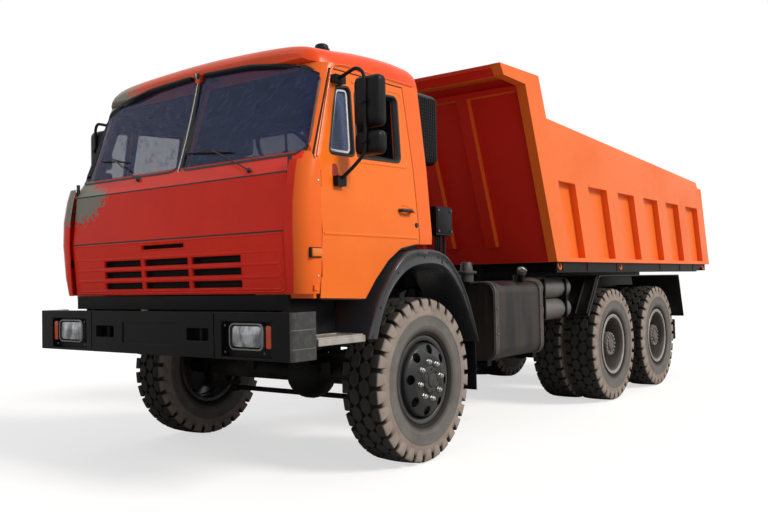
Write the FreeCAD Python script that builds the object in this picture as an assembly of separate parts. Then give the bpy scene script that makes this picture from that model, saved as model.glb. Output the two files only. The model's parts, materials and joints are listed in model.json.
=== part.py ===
import FreeCAD, Part
import math
import os

# A six by six dump truck with a tilting cab. Lengths are in mm.
# Stations run along Y from the front axle to the rear, X is the truck's left and Z is up from the ground.

# Running gear
bumper_station = -1340.0
wheelbase = 3340.0
bogie_spacing = 1320.0
tyre_radius = 561.0
tyre_width = 313.0
tyre_facets = 32
front_tyre_centre = 1064.5
rear_tyre_centre = 1093.5
twin_spacing = 345.0
rim_radius = 262.0
rim_flange_radius = 298.0
rim_facets = 20
rim_half = 122.0
rim_lip = 6.0
spindle_radius = 60.0
kingpin_x = 860.0
kingpin_radius = 26.0
steering_arm = 200.0

# Chassis
rail_outer = 432.0
rail_bottom = 790.0
rail_top = 1040.0
rail_flange = 80.0
rail_web = 8.0
rail_front = -1130.0
rail_rear = 6420.0
sub_outer = 425.0
sub_inner = 345.0
sub_top = 1165.0
sub_front = 2150.0
bumper_half = 1237.6
bumper_bottom = 794.0
bumper_top = 1066.0
bumper_return = 199.0
bumper_wall = 70.0

# Cab
cab_rear = 120.0
cab_roof_line = 2575.0
cab_floor = 1455.0
skin = 25.0
wall = 65.0
corner_radius = 130.0
cab_hinge_station = -1120.0
cab_hinge_height = 1020.0
cab_pin_radius = 18.0
hinge_lug = 860.0
panel_half = 1044.0
door_front = -1030.0
door_rear = -35.0
door_gap = 8.0
seam = 6.0
flap_bottom = 1533.0
flap_top = 1872.0
grille_bottom = 1167.0
screen_low = 1985.0
screen_high = 2650.0

# Dump body
bed_rear = 6770.0
bed_half = 1250.0
bed_bottom = 1370.0
bed_floor_top = 1410.0
bed_plate = 25.0
bed_inner = 1165.0
rib_top = 2085.0
band_top = 2345.0
rib_width = 300.0
rib_pitch = 760.0
rib_count = 5
rib_first = 2450.0
front_rake = 20.0
rib_rake = 16.5
tip_station = 6330.0
tip_height = 1110.0
tip_shaft_radius = 30.0
gate_axis_height = 2385.0

# Lifting ram
ram_station = wheelbase + bogie_spacing / 2
ram_height = 1000.0
ram_base = 450.0
ram_top = 1262.0
ram_radius = 95.0
ram_step = 13.0

# Clearances
running = 0.3
seat = 0.3

axle_height = tyre_radius * math.cos(math.pi / tyre_facets)
rear_axle_stations = [wheelbase, wheelbase + bogie_spacing]
middle = (bumper_station + bed_rear) / 2
tyre_bead_radius = (rim_radius + seat) / math.cos(math.pi / tyre_facets)
tyre_bead_half = rim_half - rim_lip - seat
eye_height = ram_top + 38.0
eye_half = 50.0

V = FreeCAD.Vector
ACROSS = V(1, 0, 0)
ALONG = V(0, 1, 0)
UP = V(0, 0, 1)


def box(x0, x1, y0, y1, z0, z1):
    return Part.makeBox(x1 - x0, y1 - y0, z1 - z0, V(x0, y0, z0))


def prism(points, axis, start, end):
    spots = {"x": lambda a, b: V(start, a, b),
             "y": lambda a, b: V(a, start, b),
             "z": lambda a, b: V(a, b, start)}
    runs = {"x": ACROSS, "y": ALONG, "z": UP}
    corners = [spots[axis](a, b) for a, b in points]
    face = Part.Face(Part.makePolygon(corners + corners[:1]))
    return face.extrude(runs[axis] * (end - start))


def rod(radius, start, end):
    run = end - start
    return Part.makeCylinder(radius, run.Length, start, run)


def fuse(first, *others):
    return first.multiFuse(list(others)).removeSplitter()


def flip(shape):
    return shape.mirror(V(0, 0, 0), ACROSS)


def pair(shape):
    return [shape, flip(shape)]


def keep(node, *solids):
    shape = solids[0] if len(solids) == 1 else Part.makeCompound(list(solids))
    shape = shape.copy()
    shape.translate(V(0, -middle, 0))
    shape.exportStep("parts/" + node + ".step")


# Turned rings with flat facets

def ring_points(x, radii, sides):
    points = []
    for i in range(sides):
        angle = math.pi * (2 * i + 1) / sides
        radius = radii[i % len(radii)]
        points.append(V(x, radius * math.sin(angle), -radius * math.cos(angle)))
    return points


def faceted_ring(profile, sides):
    rings = [ring_points(x, radii, sides) for x, radii in profile]
    faces = []
    for one, two in zip(rings, rings[1:] + rings[:1]):
        for i in range(sides):
            j = (i + 1) % sides
            quad = [one[i], one[j], two[j], two[i]]
            normal = (quad[1] - quad[0]).cross(quad[2] - quad[0])
            flat = abs(normal.dot(quad[3] - quad[0])) < 1e-3 * normal.Length
            loops = [quad] if flat else [quad[:3], [quad[0], quad[2], quad[3]]]
            faces += [Part.Face(Part.makePolygon(loop + loop[:1])) for loop in loops]
    solid = Part.Solid(Part.Shell(faces))
    if solid.Volume < 0:
        solid.reverse()
    return solid


def faceted_rod(profile, sides):
    rings = [ring_points(x, [radius], sides) for x, radius in profile]
    faces = [Part.Face(Part.makePolygon(ring + ring[:1])) for ring in (rings[0], rings[-1])]
    for one, two in zip(rings, rings[1:]):
        for i in range(sides):
            j = (i + 1) % sides
            faces.append(Part.Face(Part.makePolygon([one[i], one[j], two[j], two[i], one[i]])))
    solid = Part.Solid(Part.Shell(faces))
    if solid.Volume < 0:
        solid.reverse()
    return solid


def at(shape, x, y, z):
    moved = shape.copy()
    moved.translate(V(x, y, z))
    return moved


# Tyres with shoulder lugs on both sides

def tyre(lugs):
    half = tyre_width / 2
    lug = [tyre_radius - 8.0, tyre_radius - 40.0] if lugs else [tyre_radius - 14.0]
    profile = [
        (-tyre_bead_half, [tyre_bead_radius]),
        (-tyre_bead_half, [rim_flange_radius]),
        (-half, [tyre_bead_radius + 160.0]),
        (-half + 10.0, lug),
        (-half + 70.0, [tyre_radius]),
        (half - 70.0, [tyre_radius]),
        (half - 10.0, lug[::-1]),
        (half, [tyre_bead_radius + 160.0]),
        (tyre_bead_half, [rim_flange_radius]),
        (tyre_bead_half, [tyre_bead_radius]),
    ]
    return faceted_ring(profile, tyre_facets)


# Wheel discs with their hubs, outer side towards +X

hub_bore = (spindle_radius + running) / math.cos(math.pi / rim_facets)
drum_radius = 205.0


def front_rim():
    inner = rim_radius - 10.0
    profile = [
        (-rim_half, [rim_flange_radius]),
        (-rim_half + rim_lip, [rim_flange_radius]),
        (-rim_half + rim_lip, [rim_radius]),
        (rim_half - rim_lip, [rim_radius]),
        (rim_half - rim_lip, [rim_flange_radius]),
        (rim_half, [rim_flange_radius]),
        (rim_half, [inner]),
        (62.0, [inner - 12.0]),
        (112.0, [160.0]),
        (120.0, [84.0]),
        (150.0, [78.0]),
        (158.0, [hub_bore]),
        (-70.0, [hub_bore]),
        (-70.0, [drum_radius]),
        (20.0, [drum_radius]),
        (40.0, [inner]),
        (-rim_half, [inner]),
    ]
    return faceted_ring(profile, rim_facets)


def rear_rim():
    inner = rim_radius - 10.0
    lap = twin_spacing / 2
    outer_rim = [
        (lap - rim_half, [rim_flange_radius]),
        (lap - rim_half + rim_lip, [rim_flange_radius]),
        (lap - rim_half + rim_lip, [rim_radius]),
        (lap + rim_half - rim_lip, [rim_radius]),
        (lap + rim_half - rim_lip, [rim_flange_radius]),
        (lap + rim_half, [rim_flange_radius]),
        (lap + rim_half, [inner]),
        (lap - 80.0, [inner - 10.0]),
        (20.0, [175.0]),
        (24.0, [105.0]),
        (110.0, [98.0]),
        (124.0, [hub_bore]),
        (-20.0, [hub_bore]),
        (-20.0, [inner]),
        (lap - rim_half, [inner]),
    ]
    inner_rim = [
        (-lap - rim_half, [rim_flange_radius]),
        (-lap - rim_half + rim_lip, [rim_flange_radius]),
        (-lap - rim_half + rim_lip, [rim_radius]),
        (-lap + rim_half - rim_lip, [rim_radius]),
        (-lap + rim_half - rim_lip, [rim_flange_radius]),
        (-lap + rim_half, [rim_flange_radius]),
        (-lap + rim_half, [inner]),
        (-22.0, [inner]),
        (-22.0, [hub_bore]),
        (-lap - 60.0, [hub_bore]),
        (-lap - 60.0, [drum_radius]),
        (-lap - 20.0, [drum_radius]),
        (-lap, [inner]),
        (-lap - rim_half, [inner]),
    ]
    return fuse(faceted_ring(outer_rim, rim_facets), faceted_ring(inner_rim, rim_facets),
                spacer(-22.0, -20.0, drum_radius))


def spacer(x0, x1, radius):
    return faceted_ring([(x0, [radius]), (x1, [radius]), (x1, [hub_bore]), (x0, [hub_bore])], rim_facets)


def wheels():
    tread = tyre(True)
    inner_tread = tyre(False)
    steer_rim = front_rim()
    drive_rim = rear_rim()
    keep("tyre_front_left", at(tread, front_tyre_centre, 0, axle_height))
    keep("tyre_front_right", flip(at(tread, front_tyre_centre, 0, axle_height)))
    keep("rim_front_left", at(steer_rim, front_tyre_centre, 0, axle_height))
    keep("rim_front_right", flip(at(steer_rim, front_tyre_centre, 0, axle_height)))
    for number, station in zip((1, 2), rear_axle_stations):
        twin = Part.makeCompound([
            at(tread, rear_tyre_centre, station, axle_height),
            at(inner_tread, rear_tyre_centre - twin_spacing, station, axle_height),
        ])
        rim = at(drive_rim, rear_tyre_centre - twin_spacing / 2, station, axle_height)
        keep("tyres_rear%d_left" % number, twin)
        keep("tyres_rear%d_right" % number, flip(twin))
        keep("rims_rear%d_left" % number, rim)
        keep("rims_rear%d_right" % number, flip(rim))


# Ladder frame

def frame_rail():
    web = rail_outer - rail_web
    tip = rail_outer - rail_flange
    section = [
        (rail_outer, rail_bottom), (rail_outer, rail_top), (tip, rail_top), (tip, rail_top - rail_web),
        (web, rail_top - rail_web), (web, rail_bottom + rail_web), (tip, rail_bottom + rail_web),
        (tip, rail_bottom),
    ]
    return prism(section, "y", rail_front, rail_rear)


member_stations = [-1060.0, 2300.0, 3340.0, 4700.0, 5500.0, 6240.0]
member_width = 90.0
gearbox_member = 1400.0


def crossmembers():
    web = rail_outer - rail_web
    low = rail_bottom + 40.0
    high = rail_top - 40.0
    bars = [box(-web, web, y - member_width / 2, y + member_width / 2, low, high) for y in member_stations]
    bars.append(box(-web, web, gearbox_member, gearbox_member + member_width, high - 55.0, high))
    return bars


def frame():
    keep("ladder_frame", fuse(*(pair(frame_rail()) + crossmembers())))


# Sub frame under the dump body, with the tipping shaft and the ram's cradle

cradle_reach = 260.0
cradle_x = 125.0
cradle_plate = 25.0
trunnion_radius = 25.0


def sub_frame():
    rail_end = tip_station - 100.0
    pieces = pair(box(sub_inner, sub_outer, sub_front, rail_end, rail_top, sub_top))
    for y in (sub_front + 60.0, ram_station - cradle_reach, ram_station + cradle_reach, rail_end - 80.0):
        pieces.append(box(-sub_inner, sub_inner, y - 30.0, y + 30.0, rail_top + 5.0, rail_top + 80.0))
    plate = box(cradle_x, cradle_x + cradle_plate, ram_station - cradle_reach, ram_station + cradle_reach,
                ram_height - 50.0, rail_top + 80.0)
    hole = rod(trunnion_radius + running, V(0, ram_station, ram_height), V(300, ram_station, ram_height))
    pieces += pair(plate.cut(hole))
    bracket = prism([(rail_end - 60.0, rail_top), (tip_station + 70.0, rail_top),
                     (tip_station + 30.0, tip_height + 38.0),
                     (tip_station - 30.0, tip_height + 38.0)], "x", sub_outer - 30.0, sub_outer)
    pieces += pair(bracket)
    pieces.append(rod(tip_shaft_radius, V(-sub_outer, tip_station, tip_height),
                      V(sub_outer, tip_station, tip_height)))
    return fuse(*pieces)


# Bumper with lamp recesses and tow openings

lamp_low = 856.0
lamp_high = 997.0
lamp_inner = 739.0
lamp_outer = 1001.0
signal_inner = 1025.0
signal_outer = 1073.0
recess_depth = 40.0


def bumper():
    back = bumper_station + bumper_return
    shell = box(-bumper_half, bumper_half, bumper_station, back, bumper_bottom, bumper_top)
    corners = [e for e in shell.Edges if abs(e.Length - (bumper_top - bumper_bottom)) < 1e-6
               and e.BoundBox.YMax < bumper_station + 1.0]
    shell = shell.makeFillet(28.0, corners)
    shell = shell.cut(box(-bumper_half + 50.0, bumper_half - 50.0, bumper_station + bumper_wall, back + 1.0,
                          bumper_bottom - 1.0, bumper_top + 1.0))
    cuts = []
    for side in (1, -1):
        near = sorted((side * 670.0, side * 1080.0))
        cuts.append(box(near[0], near[1], bumper_station - 1.0, bumper_station + recess_depth,
                        lamp_low - 49.0, lamp_high + 20.0))
        tow = sorted((side * 365.0, side * 560.0))
        cuts.append(box(tow[0], tow[1], bumper_station - 1.0, bumper_station + bumper_wall + 1.0, 894.0,
                        969.0))
        cuts.append(box(side * 610.0 - 4.0, side * 610.0 + 4.0, bumper_station - 1.0, bumper_station + 8.0,
                        bumper_bottom - 1.0, bumper_top + 1.0))
    cuts.append(box(-272.0, 272.0, bumper_station - 1.0, bumper_station + 6.0, 861.0, 995.0))
    shell = shell.cut(cuts)
    bracket = box(rail_outer - rail_flange, rail_outer, bumper_station + bumper_wall, rail_front,
                  rail_bottom + 20.0, rail_top - 20.0)
    return fuse(shell, *pair(bracket))


def lamps():
    face = bumper_station + 8.0
    rear = bumper_station + recess_depth
    head = box(lamp_inner, lamp_outer, face, rear, lamp_low, lamp_high)
    signal = box(signal_inner, signal_outer, face, rear, lamp_low, lamp_high)
    return head, signal


def step():
    tread = box(1000.0, 1235.0, bumper_station + bumper_return + 20.0, -690.0, 865.0, 905.0)
    arm = box(rail_outer, 1060.0, -960.0, -890.0, 825.0, 865.0)
    return fuse(tread, arm)


def front_end():
    head, signal = lamps()
    keep("bumper", bumper())
    keep("headlamps", *pair(head))
    keep("cab_steps", *pair(step()))
    return signal


# Engine, gearbox and radiator

def engine():
    section = [(-280, 800), (280, 800), (330, 900), (330, 1240), (220, 1400), (-220, 1400), (-330, 1240),
               (-330, 900)]
    block = prism(section, "y", -900.0, 250.0)
    gearbox = prism([(-200, 740), (200, 740), (250, 900), (200, 1130), (-200, 1130), (-250, 900)], "y",
                    250.0, 560.0)
    tail = prism([(-150, 760), (150, 760), (180, 900), (150, 1060), (-150, 1060), (-180, 900)], "y", 560.0,
                 1250.0)
    return fuse(block, gearbox, tail)


def radiator():
    return box(-rail_outer + 12.0, rail_outer - 12.0, -1020.0, -940.0, rail_top, 1430.0)


transfer_front = 1650.0
transfer_rear = 2050.0
diff_offset = 180.0
diff_radius = 190.0
nose_reach = 215.0
axle_facets = 20


def drive_shafts():
    case = prism([(-230, 640), (230, 640), (280, 800), (230, 990), (-230, 990), (-280, 800)], "y",
                 transfer_front, transfer_rear)
    hangers = pair(box(230.0, rail_outer - rail_web, transfer_front + 60.0, transfer_rear - 60.0, 860.0,
                       940.0))
    flanges = []
    for station in (nose_reach, wheelbase - nose_reach - 14.0, wheelbase + nose_reach,
                    wheelbase + bogie_spacing - nose_reach - 14.0):
        flanges.append(rod(62.0, V(diff_offset, station, axle_height),
                           V(diff_offset, station + 14.0, axle_height)))
    main = rod(45.0, V(0, 1250.0 + seat, 860.0), V(0, transfer_front + 10.0, 860.0))
    front = rod(38.0, V(diff_offset, nose_reach + 10.0, axle_height),
                V(diff_offset, transfer_front + 10.0, 720.0))
    rear = rod(48.0, V(diff_offset, transfer_rear - 10.0, 760.0),
               V(diff_offset, wheelbase - nose_reach - 10.0, axle_height))
    last = rod(42.0, V(diff_offset, wheelbase + nose_reach, axle_height),
               V(diff_offset, wheelbase + bogie_spacing - nose_reach, axle_height))
    return [fuse(case, main, front, rear, *(hangers + flanges[:2])), fuse(last, *flanges[2:])]


# Axles

boss_half = 120.0


def axle_profile(reach, radius):
    bulge = diff_radius
    return [(-reach, radius), (diff_offset - bulge * 0.92, radius),
            (diff_offset - bulge * 0.55, bulge * 0.85),
            (diff_offset - bulge * 0.2, bulge), (diff_offset + bulge * 0.2, bulge),
            (diff_offset + bulge * 0.55, bulge * 0.85), (diff_offset + bulge * 0.92, radius), (reach, radius)]


def front_axle():
    tube = at(faceted_rod(axle_profile(kingpin_x - 30.0, 72.0), axle_facets), 0, 0, axle_height)
    nose = rod(70.0, V(diff_offset, 0, axle_height), V(diff_offset, nose_reach - seat, axle_height))
    ends = []
    for side in (1, -1):
        x = side * kingpin_x
        ends.append(rod(62.0, V(x, 0, axle_height - boss_half), V(x, 0, axle_height + boss_half)))
        ends.append(rod(kingpin_radius, V(x, 0, axle_height - boss_half - 55.0),
                        V(x, 0, axle_height + boss_half + 55.0)))
    pads = pair(box(347.0, 437.0, -90.0, 90.0, axle_height, axle_height + 91.0))
    return fuse(tube, nose, *(ends + pads))


def rear_axle(station):
    tube = at(faceted_rod(axle_profile(540.0, 80.0), axle_facets), 0, station, axle_height)
    stub = rod(spindle_radius, V(-1025.0, station, axle_height), V(1025.0, station, axle_height))
    front_nose = nose_reach - seat
    rear_nose = front_nose if station == wheelbase else 150.0
    nose = rod(75.0, V(diff_offset, station - front_nose, axle_height),
               V(diff_offset, station + rear_nose, axle_height))
    pads = pair(box(440.0, 530.0, station - 70.0, station + 70.0, axle_height, axle_height + 90.0))
    return fuse(tube, stub, nose, *pads)


def knuckle():
    top = axle_height + boss_half + seat
    low = axle_height - boss_half - seat
    web_inner = kingpin_x + 75.0
    web_outer = kingpin_x + 100.0
    arms = [
        box(kingpin_x - 50.0, web_outer, -60.0, 60.0, top, top + 45.0),
        box(kingpin_x - 50.0, web_outer, -60.0, 60.0, low - 45.0, low),
        box(web_inner, web_outer, -60.0, 60.0, low - 45.0, top + 45.0),
    ]
    spindle = rod(spindle_radius, V(web_inner, 0, axle_height), V(front_tyre_centre + 140.0, 0, axle_height))
    lever = box(kingpin_x - 30.0, kingpin_x + 30.0, 40.0, steering_arm + 30.0, low - 45.0, low - 15.0)
    body = fuse(*(arms + [spindle, lever]))
    pin_hole = rod(kingpin_radius + running, V(kingpin_x, 0, low - 100.0), V(kingpin_x, 0, top + 100.0))
    eye = rod(18.0, V(kingpin_x, steering_arm, low - 100.0), V(kingpin_x, steering_arm, low))
    return body.cut([pin_hole, eye])


def tie_rod():
    level = axle_height - boss_half - seat - 45.0
    ends = []
    for side in (1, -1):
        x = side * kingpin_x
        ends.append(rod(18.0 - running, V(x, steering_arm, level - 60.0), V(x, steering_arm, level + 30.0)))
        ends.append(rod(30.0, V(x, steering_arm, level - 60.0), V(x, steering_arm, level - seat)))
    bar = rod(20.0, V(-kingpin_x, steering_arm, level - 30.0), V(kingpin_x, steering_arm, level - 30.0))
    return fuse(bar, *ends)


# Leaf springs

def front_spring():
    base = axle_height + 91.0
    pieces = []
    for i in range(4):
        half = 760.0 - 150.0 * i
        z = base + 16.0 * (3 - i)
        rise = 40.0 * (half / 760.0) ** 2
        pieces.append(prism([(-half, z + rise), (0, z), (half, z + rise), (half, z + rise + 16.0),
                             (0, z + 16.0),
                             (-half, z + rise + 16.0)], "x", 352.0, 432.0))
    for y in (-745.0, 745.0):
        pieces.append(box(352.0, 432.0, y - 30.0, y + 30.0, base + 80.0, rail_bottom))
    return fuse(*pieces)


def rear_spring():
    base = axle_height + 90.0
    centre = wheelbase + bogie_spacing / 2
    pieces = []
    for i in range(5):
        half = bogie_spacing / 2 + 90.0 - 130.0 * i
        z = base + 18.0 * i
        pieces.append(box(440.0, 530.0, centre - half, centre + half, z, z + 18.0))
    pieces.append(box(432.0 + seat, 530.0, centre - 70.0, centre + 70.0, base - 50.0, base + 2.0))
    return fuse(*pieces)


def trunnion_bracket():
    centre = wheelbase + bogie_spacing / 2
    plate = prism([(centre - 180.0, rail_bottom), (centre + 180.0, rail_bottom),
                   (centre + 70.0, axle_height + 30.0),
                   (centre - 70.0, axle_height + 30.0)], "x", rail_outer - 60.0, rail_outer)
    return plate


def running_gear():
    keep("front_axle", front_axle())
    keep("rear_axles", *[rear_axle(y) for y in rear_axle_stations])
    keep("drive_shafts", *drive_shafts())
    keep("springs", *(pair(front_spring()) + pair(rear_spring())))
    keep("knuckle_left", knuckle())
    keep("knuckle_right", flip(knuckle()))
    keep("tie_rod", tie_rod())


# Tanks and boxes beside the frame

tank_front = 976.0
tank_rear = wheelbase - 1497.0
tank_inner = 560.0
tank_outer = 1200.0
tank_bottom = 590.0
tank_top = 1209.0


def rounded_box(x0, x1, y0, y1, z0, z1, radius):
    outline = []
    for x, z, start in ((x1, z1, 0), (x0, z1, 90), (x0, z0, 180), (x1, z0, 270)):
        cx = x - radius if x == x1 else x + radius
        cz = z - radius if z == z1 else z + radius
        for i in range(5):
            angle = math.radians(start + 22.5 * i)
            outline.append((cx + radius * math.cos(angle), cz + radius * math.sin(angle)))
    return prism(outline, "y", y0, y1)


def fuel_tank():
    body = rounded_box(tank_inner, tank_outer - 6.0, tank_front, tank_rear, tank_bottom + 6.0,
                       tank_top - 6.0, 90.0)
    bands = []
    for y in (tank_front + 45.0, tank_rear - 45.0):
        bands.append(rounded_box(tank_inner - 6.0, tank_outer, y - 25.0, y + 25.0, tank_bottom, tank_top,
                                 96.0))
    neck = rod(45.0, V(1080.0, tank_rear - 230.0, tank_top - 20.0),
               V(1080.0, tank_rear - 230.0, tank_top + 50.0))
    return fuse(body, neck, *bands)


def bracket_arm(outer, station, width, low):
    side = math.copysign(1.0, outer)
    foot = sorted((side * rail_outer, side * (rail_outer + 35.0)))
    upright = box(foot[0], foot[1], station - width / 2, station + width / 2, low, rail_top - 20.0)
    reach = sorted((side * rail_outer, outer))
    ledge = box(reach[0], reach[1], station - width / 2, station + width / 2, low, low + 40.0)
    return fuse(upright, ledge)


air_x = 985.0
air_radius = 97.0
air_rear = wheelbase - 640.0
air_front = air_rear - 750.0
air_levels = [942.0, 1140.0]


def air_tank(level):
    body = rod(air_radius, V(air_x, air_front, level), V(air_x, air_rear, level))
    return body.makeChamfer(22.0, [e for e in body.Edges if e.BoundBox.YLength < 1e-6])


def air_bracket(station):
    plate = box(air_x - 130.0, air_x + 110.0, station - 12.0, station + 12.0, 860.0, 1220.0)
    for level in air_levels:
        plate = plate.cut(rod(air_radius + running, V(air_x, station - 20.0, level),
                              V(air_x, station + 20.0, level)))
    return fuse(plate, box(rail_outer, air_x - 110.0, station - 12.0, station + 12.0, 880.0, 980.0))


battery_front = 950.0
battery_rear = wheelbase - 1690.0
silencer_rear = wheelbase - 720.0
silencer_front = silencer_rear - 720.0


def battery_box():
    return box(-1100.0, -500.0, battery_front, battery_rear, 640.0, 1090.0)


def silencer():
    drum = rod(160.0, V(-880.0, silencer_front, 880.0), V(-880.0, silencer_rear, 880.0))
    pipe = rod(45.0, V(-880.0, silencer_front - 140.0, 880.0), V(-880.0, silencer_front + 10.0, 880.0))
    return fuse(drum, pipe)


def frame_brackets():
    ends = (tank_front + 45.0, tank_rear - 45.0)
    pieces = [bracket_arm(tank_outer - 80.0, y, 60.0, tank_bottom - 40.0) for y in ends]
    pieces += [bracket_arm(-1040.0, y, 60.0, 600.0) for y in (battery_front + 100.0, battery_rear - 100.0)]
    pieces += [bracket_arm(-960.0, y, 50.0, 680.0) for y in (silencer_front + 120.0, silencer_rear - 120.0)]
    pieces += [air_bracket(y) for y in (air_front + 150.0, air_rear - 150.0)]
    pieces += pair(trunnion_bracket())
    pieces += cab_supports()
    return pieces


# Air intake and valve box behind the cab

def intake_stack():
    head = rounded_box(790.0, 1020.0, 200.0, 490.0, 2080.0, 2600.0, 60.0)
    duct = box(760.0, wing_inner - 15.0, 220.0, 395.0, 1260.0, 2081.0)
    foot = box(rail_outer, wing_inner - 15.0, 240.0, 380.0, 1180.0, 1261.0)
    leg = box(rail_outer, rail_outer + 60.0, 240.0, 380.0, rail_bottom + 120.0, 1181.0)
    return fuse(head, duct, foot, leg)


def valve_box():
    case = box(930.0, 1050.0, 410.0, 630.0, 1560.0, 1770.0)
    post = rod(14.0, V(990.0, 600.0, 1230.0), V(990.0, 600.0, 1561.0))
    arm = box(rail_outer, 1005.0, 575.0, 625.0, 1215.0, 1245.0)
    leg = box(rail_outer, rail_outer + 40.0, 575.0, 625.0, rail_bottom + 120.0, 1246.0)
    return fuse(case, post, arm, leg)


def side_gear():
    keep("fuel_tank", fuel_tank())
    keep("air_tanks", *[air_tank(z) for z in air_levels])
    keep("battery_box", battery_box())
    keep("silencer", silencer())
    keep("frame_brackets", *frame_brackets())
    keep("intake_stack", intake_stack())
    keep("valve_box", valve_box())


# Wings and mudguards

wing_outer = 1240.0
wing_inner = 900.0
wing_outline = [(-655, 877), (-560, 1090), (-430, 1250), (-300, 1375), (-180, 1438), (205, 1445),
                (400, 1290), (560, 1060),
                (667, 770)]
wing_inside = [(667 - 22, 770), (505, 1050), (370, 1215), (202, 1335), (-144, 1325), (-335, 1234),
               (-480, 1084),
               (-560, 871)]
wing_joint = 205.0


def wing_band():
    return prism(wing_outline + wing_inside, "x", wing_inner, wing_outer)


def wing_front():
    band = wing_band().common(box(0, 2000, -2000, wing_joint - 3.0, 0, 3000))
    stays = [box(905.0, 960.0, y, y + 40.0, 1400.0, 1500.0).common(side_cut(0)) for y in (-160.0, 60.0)]
    return fuse(band, *stays)


def apron():
    # Dark cross panel under the grille, notched for the hinge lugs
    panel = box(-1045.0, 1045.0, -1162.0, -1141.0 - seat, 1070.0, 1160.0)
    panel = panel.cut(cab_block(skin - seat, cab_roof_line))
    return panel.cut(pair(box(hinge_lug - 5.0, hinge_lug + 30.0, -1155.0, -1130.0, 1000.0, 1200.0)))


def wing_rear():
    part = wing_band().common(box(0, wing_outer - 25.0, wing_joint + 3.0, 2000, 0, 3000))
    flap = box(950.0, 1200.0, 655.0 + 22.0, 655.0 + 30.0, 410.0, 800.0)
    clip = box(950.0, 1200.0, 640.0, 686.0, 775.0, 800.0)
    arm = box(rail_outer, 950.0, 470.0, 530.0, 1165.0, 1200.0)
    leg = box(rail_outer, rail_outer + 40.0, 470.0, 530.0, rail_bottom + 120.0, 1200.0)
    return fuse(part, flap, clip, arm, leg)


guard_inner = 600.0
guard_outer = 1190.0


def rear_mudguards():
    # One bent sheet over both rear wheels of a side, with two stays
    last = wheelbase + bogie_spacing
    outline = [(wheelbase - 507.0, 858.0), (wheelbase - 220.0, 1245.0), (last + 980.0, 1240.0),
               (last + 1140.0, 735.0)]
    inside = [(y - 8.0 if y > last else y + 8.0, z - 10.0) for y, z in reversed(outline)]
    sheet = prism(outline + inside, "x", guard_inner, guard_outer)
    ends = (wheelbase - 350.0, last + 990.0)
    stays = [box(sub_outer, guard_inner + 100.0, y, y + 50.0, 1085.0, 1125.0) for y in ends]
    return pair(fuse(sheet, *stays))


rear_bar_station = 6150.0
rear_bar_half = 790.0


def rear_bar():
    bar = box(-rear_bar_half, rear_bar_half, rear_bar_station, rear_bar_station + 80.0, 560.0, 640.0)
    arms = pair(box(rail_outer - rail_flange, rail_outer, rear_bar_station, rear_bar_station + 60.0, 600.0,
                    rail_bottom - seat))
    return fuse(bar, *arms)


def tail_lamp():
    return box(rear_bar_half + seat, rear_bar_half + 165.0, rear_bar_station + 10.0,
               rear_bar_station + 80.0, 405.0, 665.0)


def guards(signal):
    keep("wing_fronts", apron(), *pair(wing_front()))
    keep("wing_rears", *pair(wing_rear()))
    keep("rear_mudguards", *rear_mudguards())
    keep("rear_bar", rear_bar())
    keep("signal_lamps", *(pair(signal) + pair(tail_lamp())))


# Cab skin as stacked outlines with rounded front corners: height, half width and front station of each

cab_levels = [(1100.0, 1175.0, -1163.0), (flap_bottom, 1200.0, -1196.0), (flap_top + 3.0, 1174.0, -1163.0),
              (screen_low, 1166.0, -1085.0), (cab_roof_line, 1100.0, -882.0), (2680.0, 1100.0, -846.0)]


def rounded_section(z, half, front, rear, radius):
    points = [V(half, rear, z)]
    for i in range(7):
        angle = math.radians(15.0 * i)
        points.append(V(half - radius + radius * math.cos(angle), front + radius - radius * math.sin(angle),
                        z))
    return points + [V(-point.x, point.y, z) for point in reversed(points)]


def stacked(sections):
    faces = [Part.Face(Part.makePolygon(ring + ring[:1])) for ring in (sections[0], sections[-1])]
    for low, high in zip(sections, sections[1:]):
        for i in range(len(low)):
            j = (i + 1) % len(low)
            quad = [low[i], low[j], high[j], high[i]]
            normal = (quad[1] - quad[0]).cross(quad[2] - quad[0])
            flat = abs(normal.dot(quad[3] - quad[0])) < 1e-4 * normal.Length
            loops = [quad] if flat else [quad[:3], [quad[0], quad[2], quad[3]]]
            faces += [Part.Face(Part.makePolygon(loop + loop[:1])) for loop in loops]
    solid = Part.Solid(Part.Shell(faces))
    if solid.Volume < 0:
        solid.reverse()
    return solid


def cab_block(inset, top):
    levels = [level for level in cab_levels if level[0] < top - 1.0]
    if top > cab_levels[-1][0]:
        levels.append((top, cab_levels[-1][1], cab_levels[-1][2]))
    else:
        levels.append([level for level in cab_levels if level[0] >= top - 1.0][0])
    rear = cab_rear - inset
    return stacked([rounded_section(z, half - inset, front + inset, rear, corner_radius - inset)
                    for z, half, front in levels])


def underside(lower):
    # Outline below which the cab is open for the wheel and its arch
    arch = [(-1300, 1145), (-607, 1123), (-504, 1245), (-380, 1362), (-244, 1443), (-90, 1470), (200, 1478)]
    return [(y, z + lower) for y, z in arch]


def side_cut(lower):
    return prism(underside(lower) + [(200, 900), (-1300, 900)], "x", -1300.0, 1300.0)


door_outline = [(door_front, 1138), (-607, 1123), (-504, 1245), (-380, 1362), (-244, 1443), (-90, 1470),
                (door_rear, 1474), (door_rear, 2470), (-70, 2540), (-815, 2530), (door_front, 1975)]


def grown(points, centre, amount):
    spread = []
    for y, z in points:
        drop = amount if z > centre[1] else -60.0
        spread.append((y + math.copysign(amount, y - centre[0]), z + drop))
    return spread


door_centre = (-560.0, 1900.0)


def door_space(amount):
    outline = grown(door_outline, door_centre, amount) if amount else door_outline
    bottom = prism(outline, "x", 950.0, 1300.0)
    rear = door_rear + amount
    plan = prism([(1300, -1400), (1300, rear), (1200, rear), (950, rear - 100), (950, -1400)], "z", 1000.0,
                 2700.0)
    return bottom.common(plan)


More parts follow.
